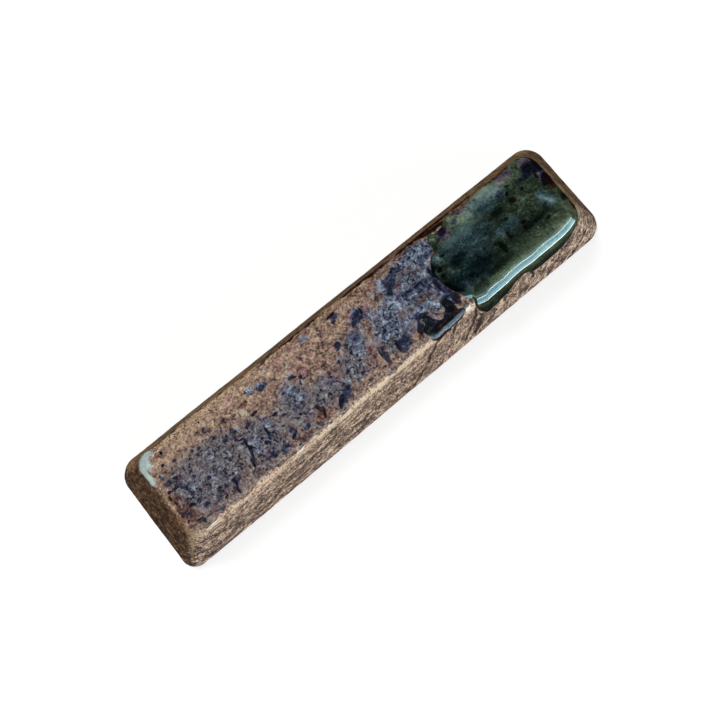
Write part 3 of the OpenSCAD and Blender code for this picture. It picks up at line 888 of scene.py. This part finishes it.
FIELD_SKY = [
    (-27.6, -1.7, 1.3, 0.16), (-29.9, -0.8, 0.6, 0.4, -30), (-25.3, 0.5, 0.5, 0.3),
    (-16.2, 4.45, 0.8, 0.36), (-16.1, 4.5, 0.45, 0.2), (-17, -0.7, 0.6, 0.3, 20),
    (-19.6, -1.5, 0.6, 0.6), (-18.3, -2.2, 0.14, 0.3), (-20, -2.3, 0.4, 0.4), (-6.3, 5.1, 0.8, 0.4),
    (-6.2, 5.1, 0.4, 0.2), (-2.8, 2.2, 0.5, 0.2, 10), (-5.3, -2.8, 0.6, 0.26, 15), (-4.4, 0.2, 0.5, 0.3),
    (-1.6, -1.35, 0.8, 0.2), (-11.9, 0.95, 0.4, 0.3), (-11.6, -0.9, 0.5, 0.3), (-11, 2.6, 0.5, 0.3),
    (-10, 3.6, 0.5, 0.26, 20), (1.3, 3.6, 0.8, 0.3, 30), (3.4, -1, 0.9, 0.26, 40),
    (2.4, -1.8, 0.6, 0.2, 25), (4, 0.9, 1, 0.32, 60), (5.6, 0.7, 0.8, 0.36, 60), (3.7, 1.4, 0.3, 0.3),
    (9.2, 0.5, 0.3, 0.45), (10.5, 1.4, 0.9, 0.16, 4), (11.6, 0.5, 0.2, 0.5), (12.6, 4.6, 1.6, 0.8),
    (14.2, 4.3, 0.6, 0.7), (13.8, 3.9, 1.2, 0.4), (9.3, 2.7, 0.8, 0.3, 10), (10.6, 4.6, 0.8, 0.6),
    (11.9, -2, 0.6, 0.3), (10, -2.6, 0.8, 0.5, -30), (8.2, -2, 0.5, 0.4), (0.8, 5, 0.26, 0.26),
    (-13, 5.1, 0.6, 0.3), (6.4, 4.6, 0.5, 0.6), (12.2, -3.6, 0.2, 0.6), (5.6, -2, 0.6, 0.3, 30),
    (6.2, 1, 0.4, 0.4)
]
FIELD_RUST = [
    (-7, 5.7, 0.7, 0.24), (-10.5, -4.6, 0.9, 0.9), (-32.9, -4.9, 0.5, 0.5), (-21.6, 5.7, 0.6, 0.3),
    (-10.5, -3.2, 0.4, 0.5), (4.6, 3, 0.9, 0.6), (-19, 5.1, 0.26, 0.18), (-32.2, -2.6, 1, 1.7),
    (-32.3, -0.9, 0.8, 0.8), (8, 2.8, 0.8, 0.3, 20), (9.4, -0.8, 1.5, 0.5, -5), (10.4, 2.7, 0.8, 0.4),
    (11.5, 5.8, 1, 0.3), (-17.8, 3.4, 0.5, 0.4), (-4.1, -4.7, 0.5, 0.14, 25), (1.3, 0.5, 0.5, 0.3, 40),
    (6.2, -4.2, 0.3, 0.7, -10), (-1.7, -5, 0.3, 0.2), (-30.9, 5.4, 0.8, 0.5), (-22, -4.9, 0.8, 0.4),
    (-14, -5.3, 1.2, 0.3)
]
FIELD_CREAM = [
    (-27.8, 2.9, 0.4, 0.55), (-19.7, 2.9, 0.36, 0.14), (-18.7, 2.8, 0.4, 0.5), (-2.3, 5, 0.26, 0.16),
    (-22.5, -4, 0.5, 0.14, 10), (-23.4, -4.6, 0.26, 0.3), (-8, 2.7, 0.16, 0.22),
    (-8.4, -1.7, 0.18, 0.18), (-8.8, -2.5, 0.3, 0.3), (-12.7, 2.9, 0.2, 0.18), (1, 1.6, 0.22, 0.2),
    (4.3, 3.4, 0.2, 0.4), (4.3, 2.6, 0.16, 0.3), (-25.5, -0.7, 0.4, 0.12, 10),
    (-16.2, 2.1, 0.3, 0.12, 40), (-14.5, 1.5, 0.5, 0.12, 5), (10.2, -3.6, 0.3, 0.3, -20),
    (7.6, -0.7, 0.3, 0.2)
]
# Where the field is tan, where it is blue and where it has grown crystals
TAN_AREAS = [
    (-7, 4.5, 10, 2.4), (-7, 1.8, 2.6, 1.6), (-23, 5.4, 10, 1.9), (-20, -6.3, 14, 0.7), (1, -5.8, 6, 1),
    (4, 5.6, 6, 1.2), (-33.4, 0, 1.2, 6), (-15.4, 2.4, 3, 1.6), (-4, -5, 3.4, 0.7, 10), (4.2, 3, 1.4, 1),
    (8, 2.6, 1.6, 0.8, 10), (9.2, -0.8, 1.6, 0.5), (6.2, -0.2, 0.9, 1.4), (-10.4, -4.6, 1.2, 0.8),
    (5.4, -4.2, 0.6, 0.8)
]
BLUE_AREAS = [
    (-27, -0.9, 6.4, 4.6), (-19, -1.9, 5.6, 3.6), (9, 1, 6, 5.6), (3.6, -1.4, 3.4, 4),
    (-12.4, -1.2, 2.8, 3.6), (0.8, 2.8, 2, 1.6, 30), (12.8, 4.4, 3, 1.8), (-6.6, -3.6, 2, 1.2, 40),
    (-1.3, 0.2, 2, 2.2), (-8.5, -2, 3, 2), (-3.2, -2, 2.6, 2.4), (-15, 4, 1.8, 0.9), (1.8, 2.4, 1.4, 1)
]
CRYSTAL_AREAS = [(6.5, 0.6, 7, 5), (12.8, 4.4, 3, 1.8), (-12, 1, 1.8, 1.6)]

# On the pool: dark, navy, rusty and violet marks; the dark left lip is partly painted shade
POOL_DARK = [
    (12.8, 1.9, 0.4, 1), (12.6, 0.5, 0.35, 1), (12.4, -0.6, 0.5, 0.9), (13, -1.8, 0.7, 1, 25),
    (13.5, -3, 0.7, 0.9, 30), (13.7, -4.1, 0.6, 0.5), (22, -2.4, 0.4, 1.1), (33.2, -2.2, 0.55, 0.6),
    (28, 3.8, 0.28, 0.22), (29.3, 2.1, 0.3, 0.25), (29.5, -3.1, 0.32, 0.26), (25, 0.3, 0.36, 0.3),
    (27.3, 2.9, 0.3, 0.22), (13.7, 0.8, 0.4, 0.3), (13.6, -0.1, 0.4, 0.3), (26.5, -1.6, 0.4, 0.3),
    (23.8, -1.6, 0.3, 0.6, 20), (30.2, -5.5, 0.5, 0.12, 10), (32.4, 0.8, 0.5, 0.3), (32, 2.2, 0.25, 0.4),
    (33.5, -4, 0.3, 0.5), (27.2, 1.8, 0.5, 0.45), (15.2, 2, 0.4, 0.3), (33.3, 3.6, 0.5, 1),
    (33, 1.3, 0.7, 0.9)
]
POOL_NAVY = [
    (26.4, 3.6, 0.55, 0.45), (30.8, 3.2, 1.3, 0.55, 5), (31.9, 3.9, 1.1, 0.7), (17.4, 4.6, 0.8, 0.6),
    (19.4, 4.6, 0.5, 0.4), (32.8, 2.9, 0.9, 0.5)
]
POOL_RUST = [
    (22, 6.3, 2.2, 0.45), (28.6, 6.3, 1.9, 0.6), (33.2, 0, 0.7, 0.6), (33.5, 4.6, 0.5, 1.6),
    (26, 6.3, 3, 0.3), (33.4, -3.9, 0.4, 0.9), (27.2, 1.9, 0.35, 0.3), (23.4, 5.9, 0.8, 0.3),
    (32.8, 0.9, 0.6, 0.5), (17.3, 5.9, 1.2, 0.35)
]
POOL_VIOLET = [
    (21.3, 5.3, 1.5, 0.5), (28.6, 5.1, 1.6, 0.65), (32.2, 5, 1, 0.6), (32.9, 1.5, 0.9, 1.3),
    (17.3, 4.2, 1.1, 1.1), (33.2, 3.6, 0.6, 1)
]
# Soft parts of the pool: pale, glowing along its margins, grey-blue and deep
POOL_LIGHT = [
    (14, 2, 0.9, 1), (13.2, 0.6, 0.5, 1), (15.6, 4.9, 0.7, 1.1), (19.2, 5.7, 0.8, 1.1),
    (25, 5.5, 2.4, 1.1), (20.8, 4.2, 2.6, 0.8), (27.6, 4.2, 3.4, 0.9), (31.6, 5.8, 1.8, 0.9),
    (30.9, -0.7, 0.35, 1.5, 30), (32.5, 2.4, 0.45, 0.3)
]
POOL_GLOW = [
    (32.4, -3, 1, 2.4), (24.5, 5, 5, 1.2), (20, 4.6, 3, 0.9), (31.6, -1.6, 1, 1.6, 40), (19, 3, 4, 1)
]
POOL_TEAL = [
    (18.5, 1.2, 5, 3), (24.5, 4, 4, 1.8), (30.9, -0.8, 1.4, 1.8, 40), (24.5, -0.4, 2.8, 1),
    (17, -2, 4, 2.2), (13.9, 2.2, 1.2, 1)
]
POOL_DEEP = [
    (17.3, -2.3, 4.4, 1.5), (13.8, -2.3, 1.4, 1.7, 30), (27.5, -2.2, 3, 0.6), (24.8, 1.9, 1.2, 0.6),
    (16.4, 0.3, 1.6, 0.7), (17, -2.4, 3.4, 1.2), (13.4, 0.6, 0.7, 2), (14.2, -3.8, 1, 1),
    (19.6, -3.9, 3.2, 0.6)
]

# The two lobes that hang over the near edge: middle, half width and added thickness
POOL_LOBES = [(17.4, 1.9, 0.32), (26.8, 2.6, 0.24)]

# Runs: x, y and half width along each of them
RUN_PATHS = [
    [(9.8, -6.7, 0.12), (7.4, -7.1, 0.22), (6.4, -8.6, 0.3), (5.3, -10.2, 0.24), (4.9, -10.9, 0.1)],
    [(4.4, -11.6, 0.2), (3.2, -12.8, 0.34), (2.4, -13.6, 0.2)],
    [(14.3, -6.6, 0.14), (13.8, -8.2, 0.34), (12.6, -10.4, 0.28), (11.6, -12.0, 0.34),
     (11.0, -13.4, 0.15)],
    [(14.6, -9.6, 0.2), (13.6, -11.6, 0.36), (13.0, -12.8, 0.3), (12.6, -13.6, 0.15)],
    [(23.3, -8.6, 0.2), (23.4, -9.8, 0.34), (22.9, -11.2, 0.2)],
    [(10.9, -6.6, 0.14), (10.2, -7.4, 0.22), (9.6, -8.2, 0.1)]
]

# Raised spots on the field and the coat
BLISTERS = [
    (-1, 0.8, 1.15, 0.95, -25), (-1.9, -0.4, 0.8, 0.5, -10), (-25.6, -1, 0.4, 0.34),
    (0.3, -5.7, 0.5, 0.4)
]
CRUST_LOBES = [
    (7.3, 3.7, 0.9, 0.7), (8.4, 4.5, 1.4, 0.45, 8), (9.8, 4.2, 0.6, 0.35, -20), (6.6, 2.7, 0.5, 0.6),
    (0.3, 2.5, 0.7, 0.35, 35), (1.3, 3.1, 0.9, 0.6, 25), (-3.4, 1.6, 0.6, 0.45, 20),
    (-1.4, 4.85, 0.8, 0.5), (-6.4, 5.1, 0.8, 0.4), (2.5, -1.3, 0.7, 0.4, 40), (3.4, -0.8, 0.8, 0.36, 40),
    (4.1, 0.9, 0.9, 0.32, 60), (5.6, 0.7, 0.7, 0.36, 60), (3.3, -3.8, 0.8, 1), (8.5, 1, 0.8, 0.4),
    (10.3, 1, 1.2, 0.5), (11.2, 0.5, 1.15, 0.5), (12.7, 4.4, 1.6, 0.9), (14.2, 4, 0.7, 0.6),
    (10.6, 4.6, 0.7, 0.5), (-7.5, -4.5, 1, 0.5, 48), (-6.3, -3.9, 0.8, 0.5, 40),
    (-5.6, -3.2, 0.5, 0.3, 20), (-21, -2.6, 0.25, 1, -30), (-17.8, -1.5, 0.3, 0.7, -5),
    (-25.1, -4.5, 0.22, 0.9, -18), (-16.2, 4.4, 0.8, 0.36), (-15.3, -4.1, 0.45, 0.3, 25),
    (-31.1, -2.7, 0.5, 0.22, -20)
]
CORNER_SPOT = [(-32.9, 5.5, 1.25, 1.6, -35), (-32.2, 6.3, 1.8, 0.6), (-33.4, 4, 0.6, 2, 4)]

# In the bead: murky, amber and olive glass
BEAD_MURK = [
    (7.3, -3.9, 1.5, 1.5, -20), (8.8, -5, 2.6, 0.6), (11.6, -3.8, 1.2, 1.6), (10.6, -5, 2, 0.5),
    (9.4, -6.7, 3.6, 0.4, 3), (7.9, -3.2, 0.6, 0.5)
]
BEAD_AMBER = [(6.3, -4.3, 0.3, 0.7, -10), (9.2, -5, 1, 0.14), (11.8, -4.9, 0.6, 0.16)]
BEAD_OLIVE = [(7.7, -3.1, 0.5, 0.4), (9, -3.9, 0.6, 0.6), (7.4, -4.6, 0.5, 0.3)]


# Pieces. Heights are over the coat, and seats are where the small glazes begin
FIELD_HEIGHT = 0.2
RUN_HEIGHT = 0.14
COAT_SEAT = 0.14
FIELD_SEAT = 0.17


def dressed(skin):
    """Adds the hand-made unevenness to a skin."""
    skin.base = skin.points + skin.normals * hand_wave(skin.points)[:, None]
    skin.shaken = shaken(skin.places, skin.points)
    return skin


def coat_shades(skin):
    """Shares of the coat's zones, and the marks on it."""
    drop, out, places, marks = skin.drop, skin.out, skin.places, skin.shaken
    # near: the near side and, less, the green end; the darker other sides are partly painted shade
    near = step(0.25, 0.8, -out[:, 1] + 0.35 * np.maximum(out[:, 0], 0))
    far = step(0.5, 0.9, out[:, 1])
    plain = step(0.3, 0.8, -out[:, 0])
    plain_line = np.clip(1 - np.abs(drop - 0.8) / 0.8, 0, 1) * plain * (drop > 0)
    # crest: the near edge's band, lighter partly from pale glaze and partly as a painted sheen
    crest = np.clip(1.1 - np.abs(drop - EDGE_RADIUS) / 0.9, 0, 1) * near
    far_crest = np.clip(1.2 - np.abs(drop - 1.0) / 0.9, 0, 1) * far
    return {
        "near": near, "far": far, "down": step(1.0, drop.max() * 0.7, drop),
        "crest": crest * (1 + 0.35 * step(-17.0, -10.0, places[:, 0])),
        "far_crest": far_crest * (1 - 0.8 * step(13.0, 16.0, places[:, 0])),
        "flat": 1 - step(0.2 + 0.7 * plain, 1.3 + 0.7 * plain, drop),
        "khaki": np.maximum(plain_line, areas(places, COAT_KHAKI)),
        "orange": areas(places, COAT_ORANGE), "olive": areas(places, COAT_OLIVE),
        "rust": spots(marks, COAT_RUST), "dark": spots(marks, COAT_DARK),
        "painted_glint": spots(marks, COAT_PAINTED_GLINTS)
    }


def coat_piece():
    outer = dressed(Skin(long_count=400, short_count=72, corner_count=12, crest_count=12,
                         wall_count=44))
    inner = dressed(Skin(long_count=100, short_count=18, corner_count=3, crest_count=4,
                         wall_count=10, grow=-COAT_THICKNESS, bevel_count=1))
    relief = bumps(outer.points, (0.025, 0.9, 21), (0.02, 3.0, 31)) - 0.02
    outer_points = keep_inside(outer.base + outer.normals * relief[:, None])
    count = len(outer_points)
    quads = np.vstack([outer.faces, inner.faces[:, ::-1] + count])
    outer_rim, inner_rim = outer.loops[-1], inner.loops[-1] + count
    ratio = len(outer_rim) // len(inner_rim)
    rim_faces = []
    for k in range(len(inner_rim)):
        run = [outer_rim[(k * ratio + i) % len(outer_rim)] for i in range(ratio + 1)]
        rim_faces.append(run[::-1] + [inner_rim[k], inner_rim[(k + 1) % len(inner_rim)]])
    shades = {shade: np.concatenate([values, np.zeros(len(inner.base))])
              for shade, values in coat_shades(outer).items()}
    mesh = new_mesh("speckled_coat_glaze", np.vstack([outer_points, inner.base]), quads, rim_faces)
    place_piece("speckled_coat_glaze", mesh, "speckled_coat", coat_material(),
                shades)


def clay_piece():
    skin = dressed(Skin(long_count=300, short_count=60, corner_count=10, crest_count=4,
                        wall_count=14, grow=-COAT_THICKNESS - CLAY_GAP, foot_z=FOOT_BEVEL,
                        bevel=FOOT_BEVEL, bevel_count=6))
    relief = bumps(skin.points, (0.03, 0.8, 41), (0.04, 3.5, 42)) - 0.05
    points = skin.base + skin.normals * relief[:, None]
    rim = skin.loops[-1]
    under_grid = skin.top_grid(points[rim])
    scrape = bumps(under_grid * np.array([0.25, 1.0, 1.0]), (0.05, 0.5, 43))
    dents = 0.06 * step(0.2, 0.8, smooth_noise(under_grid, 5.0, 44))
    under_grid[:, 2] = np.maximum(under_grid[:, 2], 0) + 0.02 + np.abs(scrape) + dents
    lookup = np.arange(len(under_grid)) + len(points)
    lookup[skin.border()] = rim
    under = grid_quads(skin.long_count, skin.short_count)[:, [0, 3, 2, 1]]
    points[rim, 2] = 0.01
    quads = np.vstack([skin.faces, lookup[under]])
    used, flat = np.unique(quads, return_inverse=True)
    all_points = keep_inside(np.vstack([points, under_grid])[used])
    mesh = new_mesh("stoneware_body", all_points, flat.reshape(-1, 4))
    place_piece("stoneware_body", mesh, "clay_body", clay_material(), {})


def quarter_round(share):
    share = np.clip(share, 0, 1)
    return np.sqrt(1 - (1 - share) ** 2)


def sunk(inside, lift):
    """Lets a layer dip under the coat outside of its outline."""
    return np.where(inside < 0, -0.12 * step(0.0, 0.3, -inside), lift)


def glaze_shades(skin):
    """Parts and marks of the iron glaze, carried too by the pieces on it."""
    places, marks = skin.places, skin.shaken
    return {
        "tan": areas(places, TAN_AREAS), "blue": areas(places, BLUE_AREAS),
        "crystal": areas(places, CRYSTAL_AREAS), "dark": spots(marks, FIELD_DARK),
        "navy": spots(marks, FIELD_NAVY), "sky": spots(marks, FIELD_SKY),
        "rust": spots(marks, FIELD_RUST), "cream": spots(marks, FIELD_CREAM)
    }


def field_piece(skin, shades, pool, bead):
    points = skin.base
    inside = inside_distance(skin.shaken, curve_through(FIELD_OUTLINE))
    inside += bumps(points, (0.2, 1.6, 51))
    relief = bumps(points, (0.03, 0.5, 52), (0.03, 2.4, 53))
    relief += shades["crystal"] * bumps(points, (0.05, 0.9, 54))
    relief -= 0.05 * step(0.0, 0.4, shades["dark"])
    lift = FIELD_HEIGHT * step(0.0, 1.1, inside) - 0.14 * step(0.15, -0.5, inside)
    lift = lift + relief * step(0.0, 0.8, inside) - 0.4 * step(0.3, 0.9, np.maximum(pool, bead))
    layer_piece("iron_glaze_top", "iron_glaze_field", field_material(), skin, lift,
                shades)


def pool_lift(skin, inside):
    """Thick glass, thinner to the far side and both ends, with two lobes at its lower edge."""
    x, y = skin.places[:, 0], skin.places[:, 1]
    thin = np.maximum(step(3.0, 6.2, y), step(30.5, 34.0, x))
    thick = POOL_THICKNESS * (0.95 - 0.65 * thin) + 0.03 * (smooth_noise(skin.base, 6.0, 72) - 1)
    dome = 0.3 * quarter_round(inside / 0.5) + 0.7 * quarter_round(inside / 2.8)
    lobes = sum(height * np.exp(-((x - middle) / half_width) ** 2)
                for middle, half_width, height in POOL_LOBES)
    lower_edge = np.exp(-((skin.drop - 1.5) / 0.9) ** 2) * step(-4.0, -5.0, y)
    lift = thick * dome + lobes * lower_edge * quarter_round(inside / 1.2)
    lift *= 0.3 + 0.7 * step(12.2, 17.0, x)
    return np.minimum(sunk(inside, lift), POOL_THICKNESS)


def pool_shades(skin):
    """Parts and marks of the green glass, which is paler along its lower margin, partly a painted glow.
    """
    places, marks = skin.places, skin.shaken
    x, y = places[:, 0], places[:, 1]
    # The margin band lies under the highlight: partly paler glass, partly the highlight's painted glow
    margin = step(-2.4, -5.6, y) * step(-7.6, -5.8, y) * (0.35 + 0.65 * step(15.0, 22.0, x))
    return {
        "deep": areas(places, POOL_DEEP), "teal": areas(places, POOL_TEAL),
        "light": areas(marks, POOL_LIGHT),
        "glow": np.maximum(0.8 * areas(places, POOL_GLOW), margin),
        "navy": spots(marks, POOL_NAVY), "dark": spots(marks, POOL_DARK),
        "rust": spots(marks, POOL_RUST), "violet": spots(marks, POOL_VIOLET)
    }


def pool_piece(skin, pool):
    inside = pool + 0.08 * smooth_noise(skin.base, 1.6, 71)
    layer_piece("green_glass", "green_glass_pool", pool_material(), skin,
                pool_lift(skin, inside), pool_shades(skin))


def bead_piece(skin, shades, bead):
    """Thin dark glass that fills the near edge up and ends in a small rounded lip there."""
    points, marks = skin.base, skin.shaken
    inside = bead + 0.15 * rough_noise(points, 1.1, 81)
    turn = np.minimum(skin.drop / EDGE_RADIUS, 0.75)
    fill = np.minimum(EDGE_RADIUS * (1 / np.cos(turn) - 1), 0.24)
    ridge = 0.07 * step(0.30, 0.0, np.abs(skin.drop - 0.62 - 0.1 * smooth_noise(points, 2.5, 83)))
    ridge *= step(8.0, 8.8, skin.places[:, 0])
    lift = (0.14 + fill + ridge) * quarter_round(inside / 1.2) + 0.015 * rough_noise(points, 1.2, 82)
    murk = spots(marks, BEAD_MURK) - 0.9 * step(0.5, 0.0, inside) * step(-5.0, -4.2, marks[:, 1])
    bead_shades = {"olive": spots(marks, BEAD_OLIVE), "amber": spots(marks, BEAD_AMBER),
                   "murk": murk}
    layer_piece("edge_bead", "edge_glass_bead", bead_material(), skin,
                sunk(inside, lift), shades | bead_shades)


def spot_layer(name, node, material, skin, inside, shades, height, rough, base):
    """Small raised glazes: shares inside their rims, their height over a base and a roughness."""
    grit = rough * rough_noise(skin.base, 0.5, 107)
    rise = height * (quarter_round(inside / 0.7) + grit)
    lift = np.where(inside > 0, base + rise, base - 0.6 * step(0.0, 0.6, -inside))
    layer_piece(name, node, material, skin, lift, shades)


def run_piece(skin):
    """Thin runs down the near side, broken along their way."""
    inside = np.full(len(skin.places), -1.0)
    for path in RUN_PATHS:
        for x, y, half_width in curve_through(path, 8, closed=False):
            distance = np.hypot(skin.shaken[:, 0] - x, skin.shaken[:, 1] - y)
            inside = np.maximum(inside, 1 - distance / half_width)
    inside = inside + 0.45 * rough_noise(skin.base, 0.9, 91)
    lift = sunk(inside, RUN_HEIGHT * quarter_round(inside / 0.8))
    layer_piece("glaze_drips", "glaze_runs", run_material(), skin, lift,
                {"inside": inside})


def top_pieces():
    skin = dressed(Skin(long_count=520, short_count=84, corner_count=14, crest_count=14,
                        wall_count=56))
    pool = inside_distance(skin.places, curve_through(POOL_OUTLINE))
    bead = inside_distance(skin.shaken, curve_through(BEAD_OUTLINE))
    shades = glaze_shades(skin)
    field_piece(skin, shades, pool, bead)
    pool_piece(skin, pool)
    bead_piece(skin, shades, bead)
    spot_layer("crystal_crust", "blue_crystal_crust", crust_material(), skin,
               spots(skin.shaken, CRUST_LOBES), shades, height=0.11, rough=0.6, base=FIELD_SEAT)
    corner = spots(skin.shaken, CORNER_SPOT)
    spot_layer("corner_spot", "corner_celadon_spot", celadon_material(), skin,
               corner, {"inside": corner}, height=0.14, rough=0.2, base=COAT_SEAT)
    domes = spots(skin.places, BLISTERS) + bumps(skin.base, (0.1, 1.2, 121))
    spot_layer("blister_domes", "glaze_blisters", blister_material(), skin,
               domes, shades, height=0.2, rough=0.1, base=FIELD_SEAT)
    run_piece(skin)


# Surroundings, in metres. Part of the floor's brightness is only for the camera
FLOOR_GREY, FLOOR_GLOW = 0.34, 0.74
ALL_ROUND_LIGHT = 0.01
WINDOW_AZIMUTH, WINDOW_DISTANCE, WINDOW_WIDTH = -88, 0.5, 1.15
WHITE = (1, 1, 1)
CYAN = (0.40, 0.93, 1.15)
# Lamps that light the surfaces and aren't mirrored: name, azimuth, elevation, distance, width,
# height, radiance and colour
LAMPS = [
    ("overhead", 100, 78, 0.8, 0.9, 0.9, 0.72, WHITE),
    ("far_window", 105, 58, 0.6, 0.22, 0.22, 15.0, (1.0, 0.99, 0.97)),
    ("near_window", WINDOW_AZIMUTH, 22, WINDOW_DISTANCE, WINDOW_WIDTH, 0.26, 3.4, WHITE)
]
# Panes of a window that only the glaze mirrors: name, elevation, height, radiance and colour
PANES = [
    ("pane_veil", 77, 0.2, 0.5, (0.6, 1.0, 0.95)),
    ("pane_soft", 62, 0.13, 1.8, (0.57, 0.98, 1.0)),
    ("pane_top", 51, 0.022, 22.0, WHITE),
    ("pane_high", 39, 0.16, 4.2, CYAN),
    ("pane_low", 18, 0.17, 6.0, CYAN),
    ("pane_sill", 3, 0.045, 18.0, WHITE)
]


def floor():
    mesh = bpy.data.meshes.new("studio_floor")
    half = 2.0
    mesh.from_pydata([(-half, -half, 0), (half, -half, 0), (half, half, 0), (-half, half, 0)],
                     [], [(0, 1, 2, 3)])
    plane = new_object("studio_floor", mesh)
    material = bpy.data.materials.new("studio_floor")
    tree = fresh_tree(material)
    paper = add_node(tree, "BsdfDiffuse", {"Color": (FLOOR_GREY, FLOOR_GREY, FLOOR_GREY, 1)})
    seen = add_node(tree, "LightPath", {}).outputs["Is Camera Ray"]
    glow = add_node(tree, "Math", {0: seen, 1: FLOOR_GLOW}, operation="MULTIPLY")
    white = add_node(tree, "Emission", {"Strength": glow.outputs[0]})
    both = add_node(tree, "AddShader", {0: paper.outputs[0], 1: white.outputs[0]})
    add_node(tree, "OutputMaterial", {0: both.outputs[0]})
    mesh.materials.append(material)
    plane.visible_glossy = False


def world_light(strength):
    """White behind the object, and faint light from all round."""
    world = bpy.data.worlds.new("studio")
    bpy.context.scene.world = world
    tree = fresh_tree(world)
    soft = add_node(tree, "Background", {"Color": (0.98, 0.99, 1.0, 1), "Strength": strength})
    white = add_node(tree, "Background", {"Color": (1, 1, 1, 1), "Strength": 1.0})
    seen = add_node(tree, "LightPath", {}).outputs["Is Camera Ray"]
    mix = add_node(tree, "MixShader", {0: seen, 1: soft.outputs[0], 2: white.outputs[0]})
    add_node(tree, "OutputWorld", {0: mix.outputs[0]})


def upright_axes(back):
    """Right and up of something level that looks against back."""
    right = np.cross((0, 0, 1), back)
    right = right / np.linalg.norm(right)
    return right, np.cross(back, right)


def aim(holder, place, back):
    """Puts an object at a place in metres with its local Z along back."""
    right, up = upright_axes(back)
    rows = [[right[k], up[k], back[k], place[k]] for k in range(3)]
    holder.matrix_world = Matrix(rows + [[0, 0, 0, 1]])


def direction(azimuth, elevation):
    a, e = math.radians(azimuth), math.radians(elevation)
    return np.array([math.cos(e) * math.cos(a), math.cos(e) * math.sin(a), math.sin(e)])


def lamp(name, azimuth, elevation, distance, width, height, radiance, colour):
    """Soft box that faces the object, by its place round the object and its brightness."""
    light = bpy.data.lights.new(name, "AREA")
    light.shape = "RECTANGLE"
    light.size = width
    light.size_y = height
    light.energy = radiance * math.pi * width * height
    light.color = colour
    holder = new_object(name, light)
    back = direction(azimuth, elevation)
    aim(holder, back * distance, back)
    return holder


def lights():
    world_light(ALL_ROUND_LIGHT)
    for row in LAMPS:
        lamp(*row).visible_glossy = False
    for name, elevation, height, radiance, colour in PANES:
        pane = lamp(name, WINDOW_AZIMUTH, elevation, WINDOW_DISTANCE, WINDOW_WIDTH, height,
                    radiance, colour)
        pane.visible_diffuse = False


def camera():
    """The photograph's view: turned 39.7 degrees about the bar's upright, 80.4 degrees up."""
    distance, shift_right, shift_up = 180.8, -0.60, -1.34
    focal_pixels, frame_pixels, sensor = 1300, 720, 36.0
    back = direction(-90 - 39.69, 80.36)
    right, up = upright_axes(back)
    place = back * distance + right * shift_right + up * shift_up + np.array([0, 0, RIM_Z])
    data = bpy.data.cameras.new("photo_view")
    data.sensor_width = sensor
    data.lens = focal_pixels / frame_pixels * sensor
    data.clip_start = 0.005
    data.clip_end = 20
    holder = new_object("photo_view", data)
    aim(holder, place * MM, back)
    bpy.context.scene.camera = holder


coat_piece()
clay_piece()
top_pieces()
floor()
lights()
camera()
bpy.context.scene.view_settings.view_transform = "Standard"
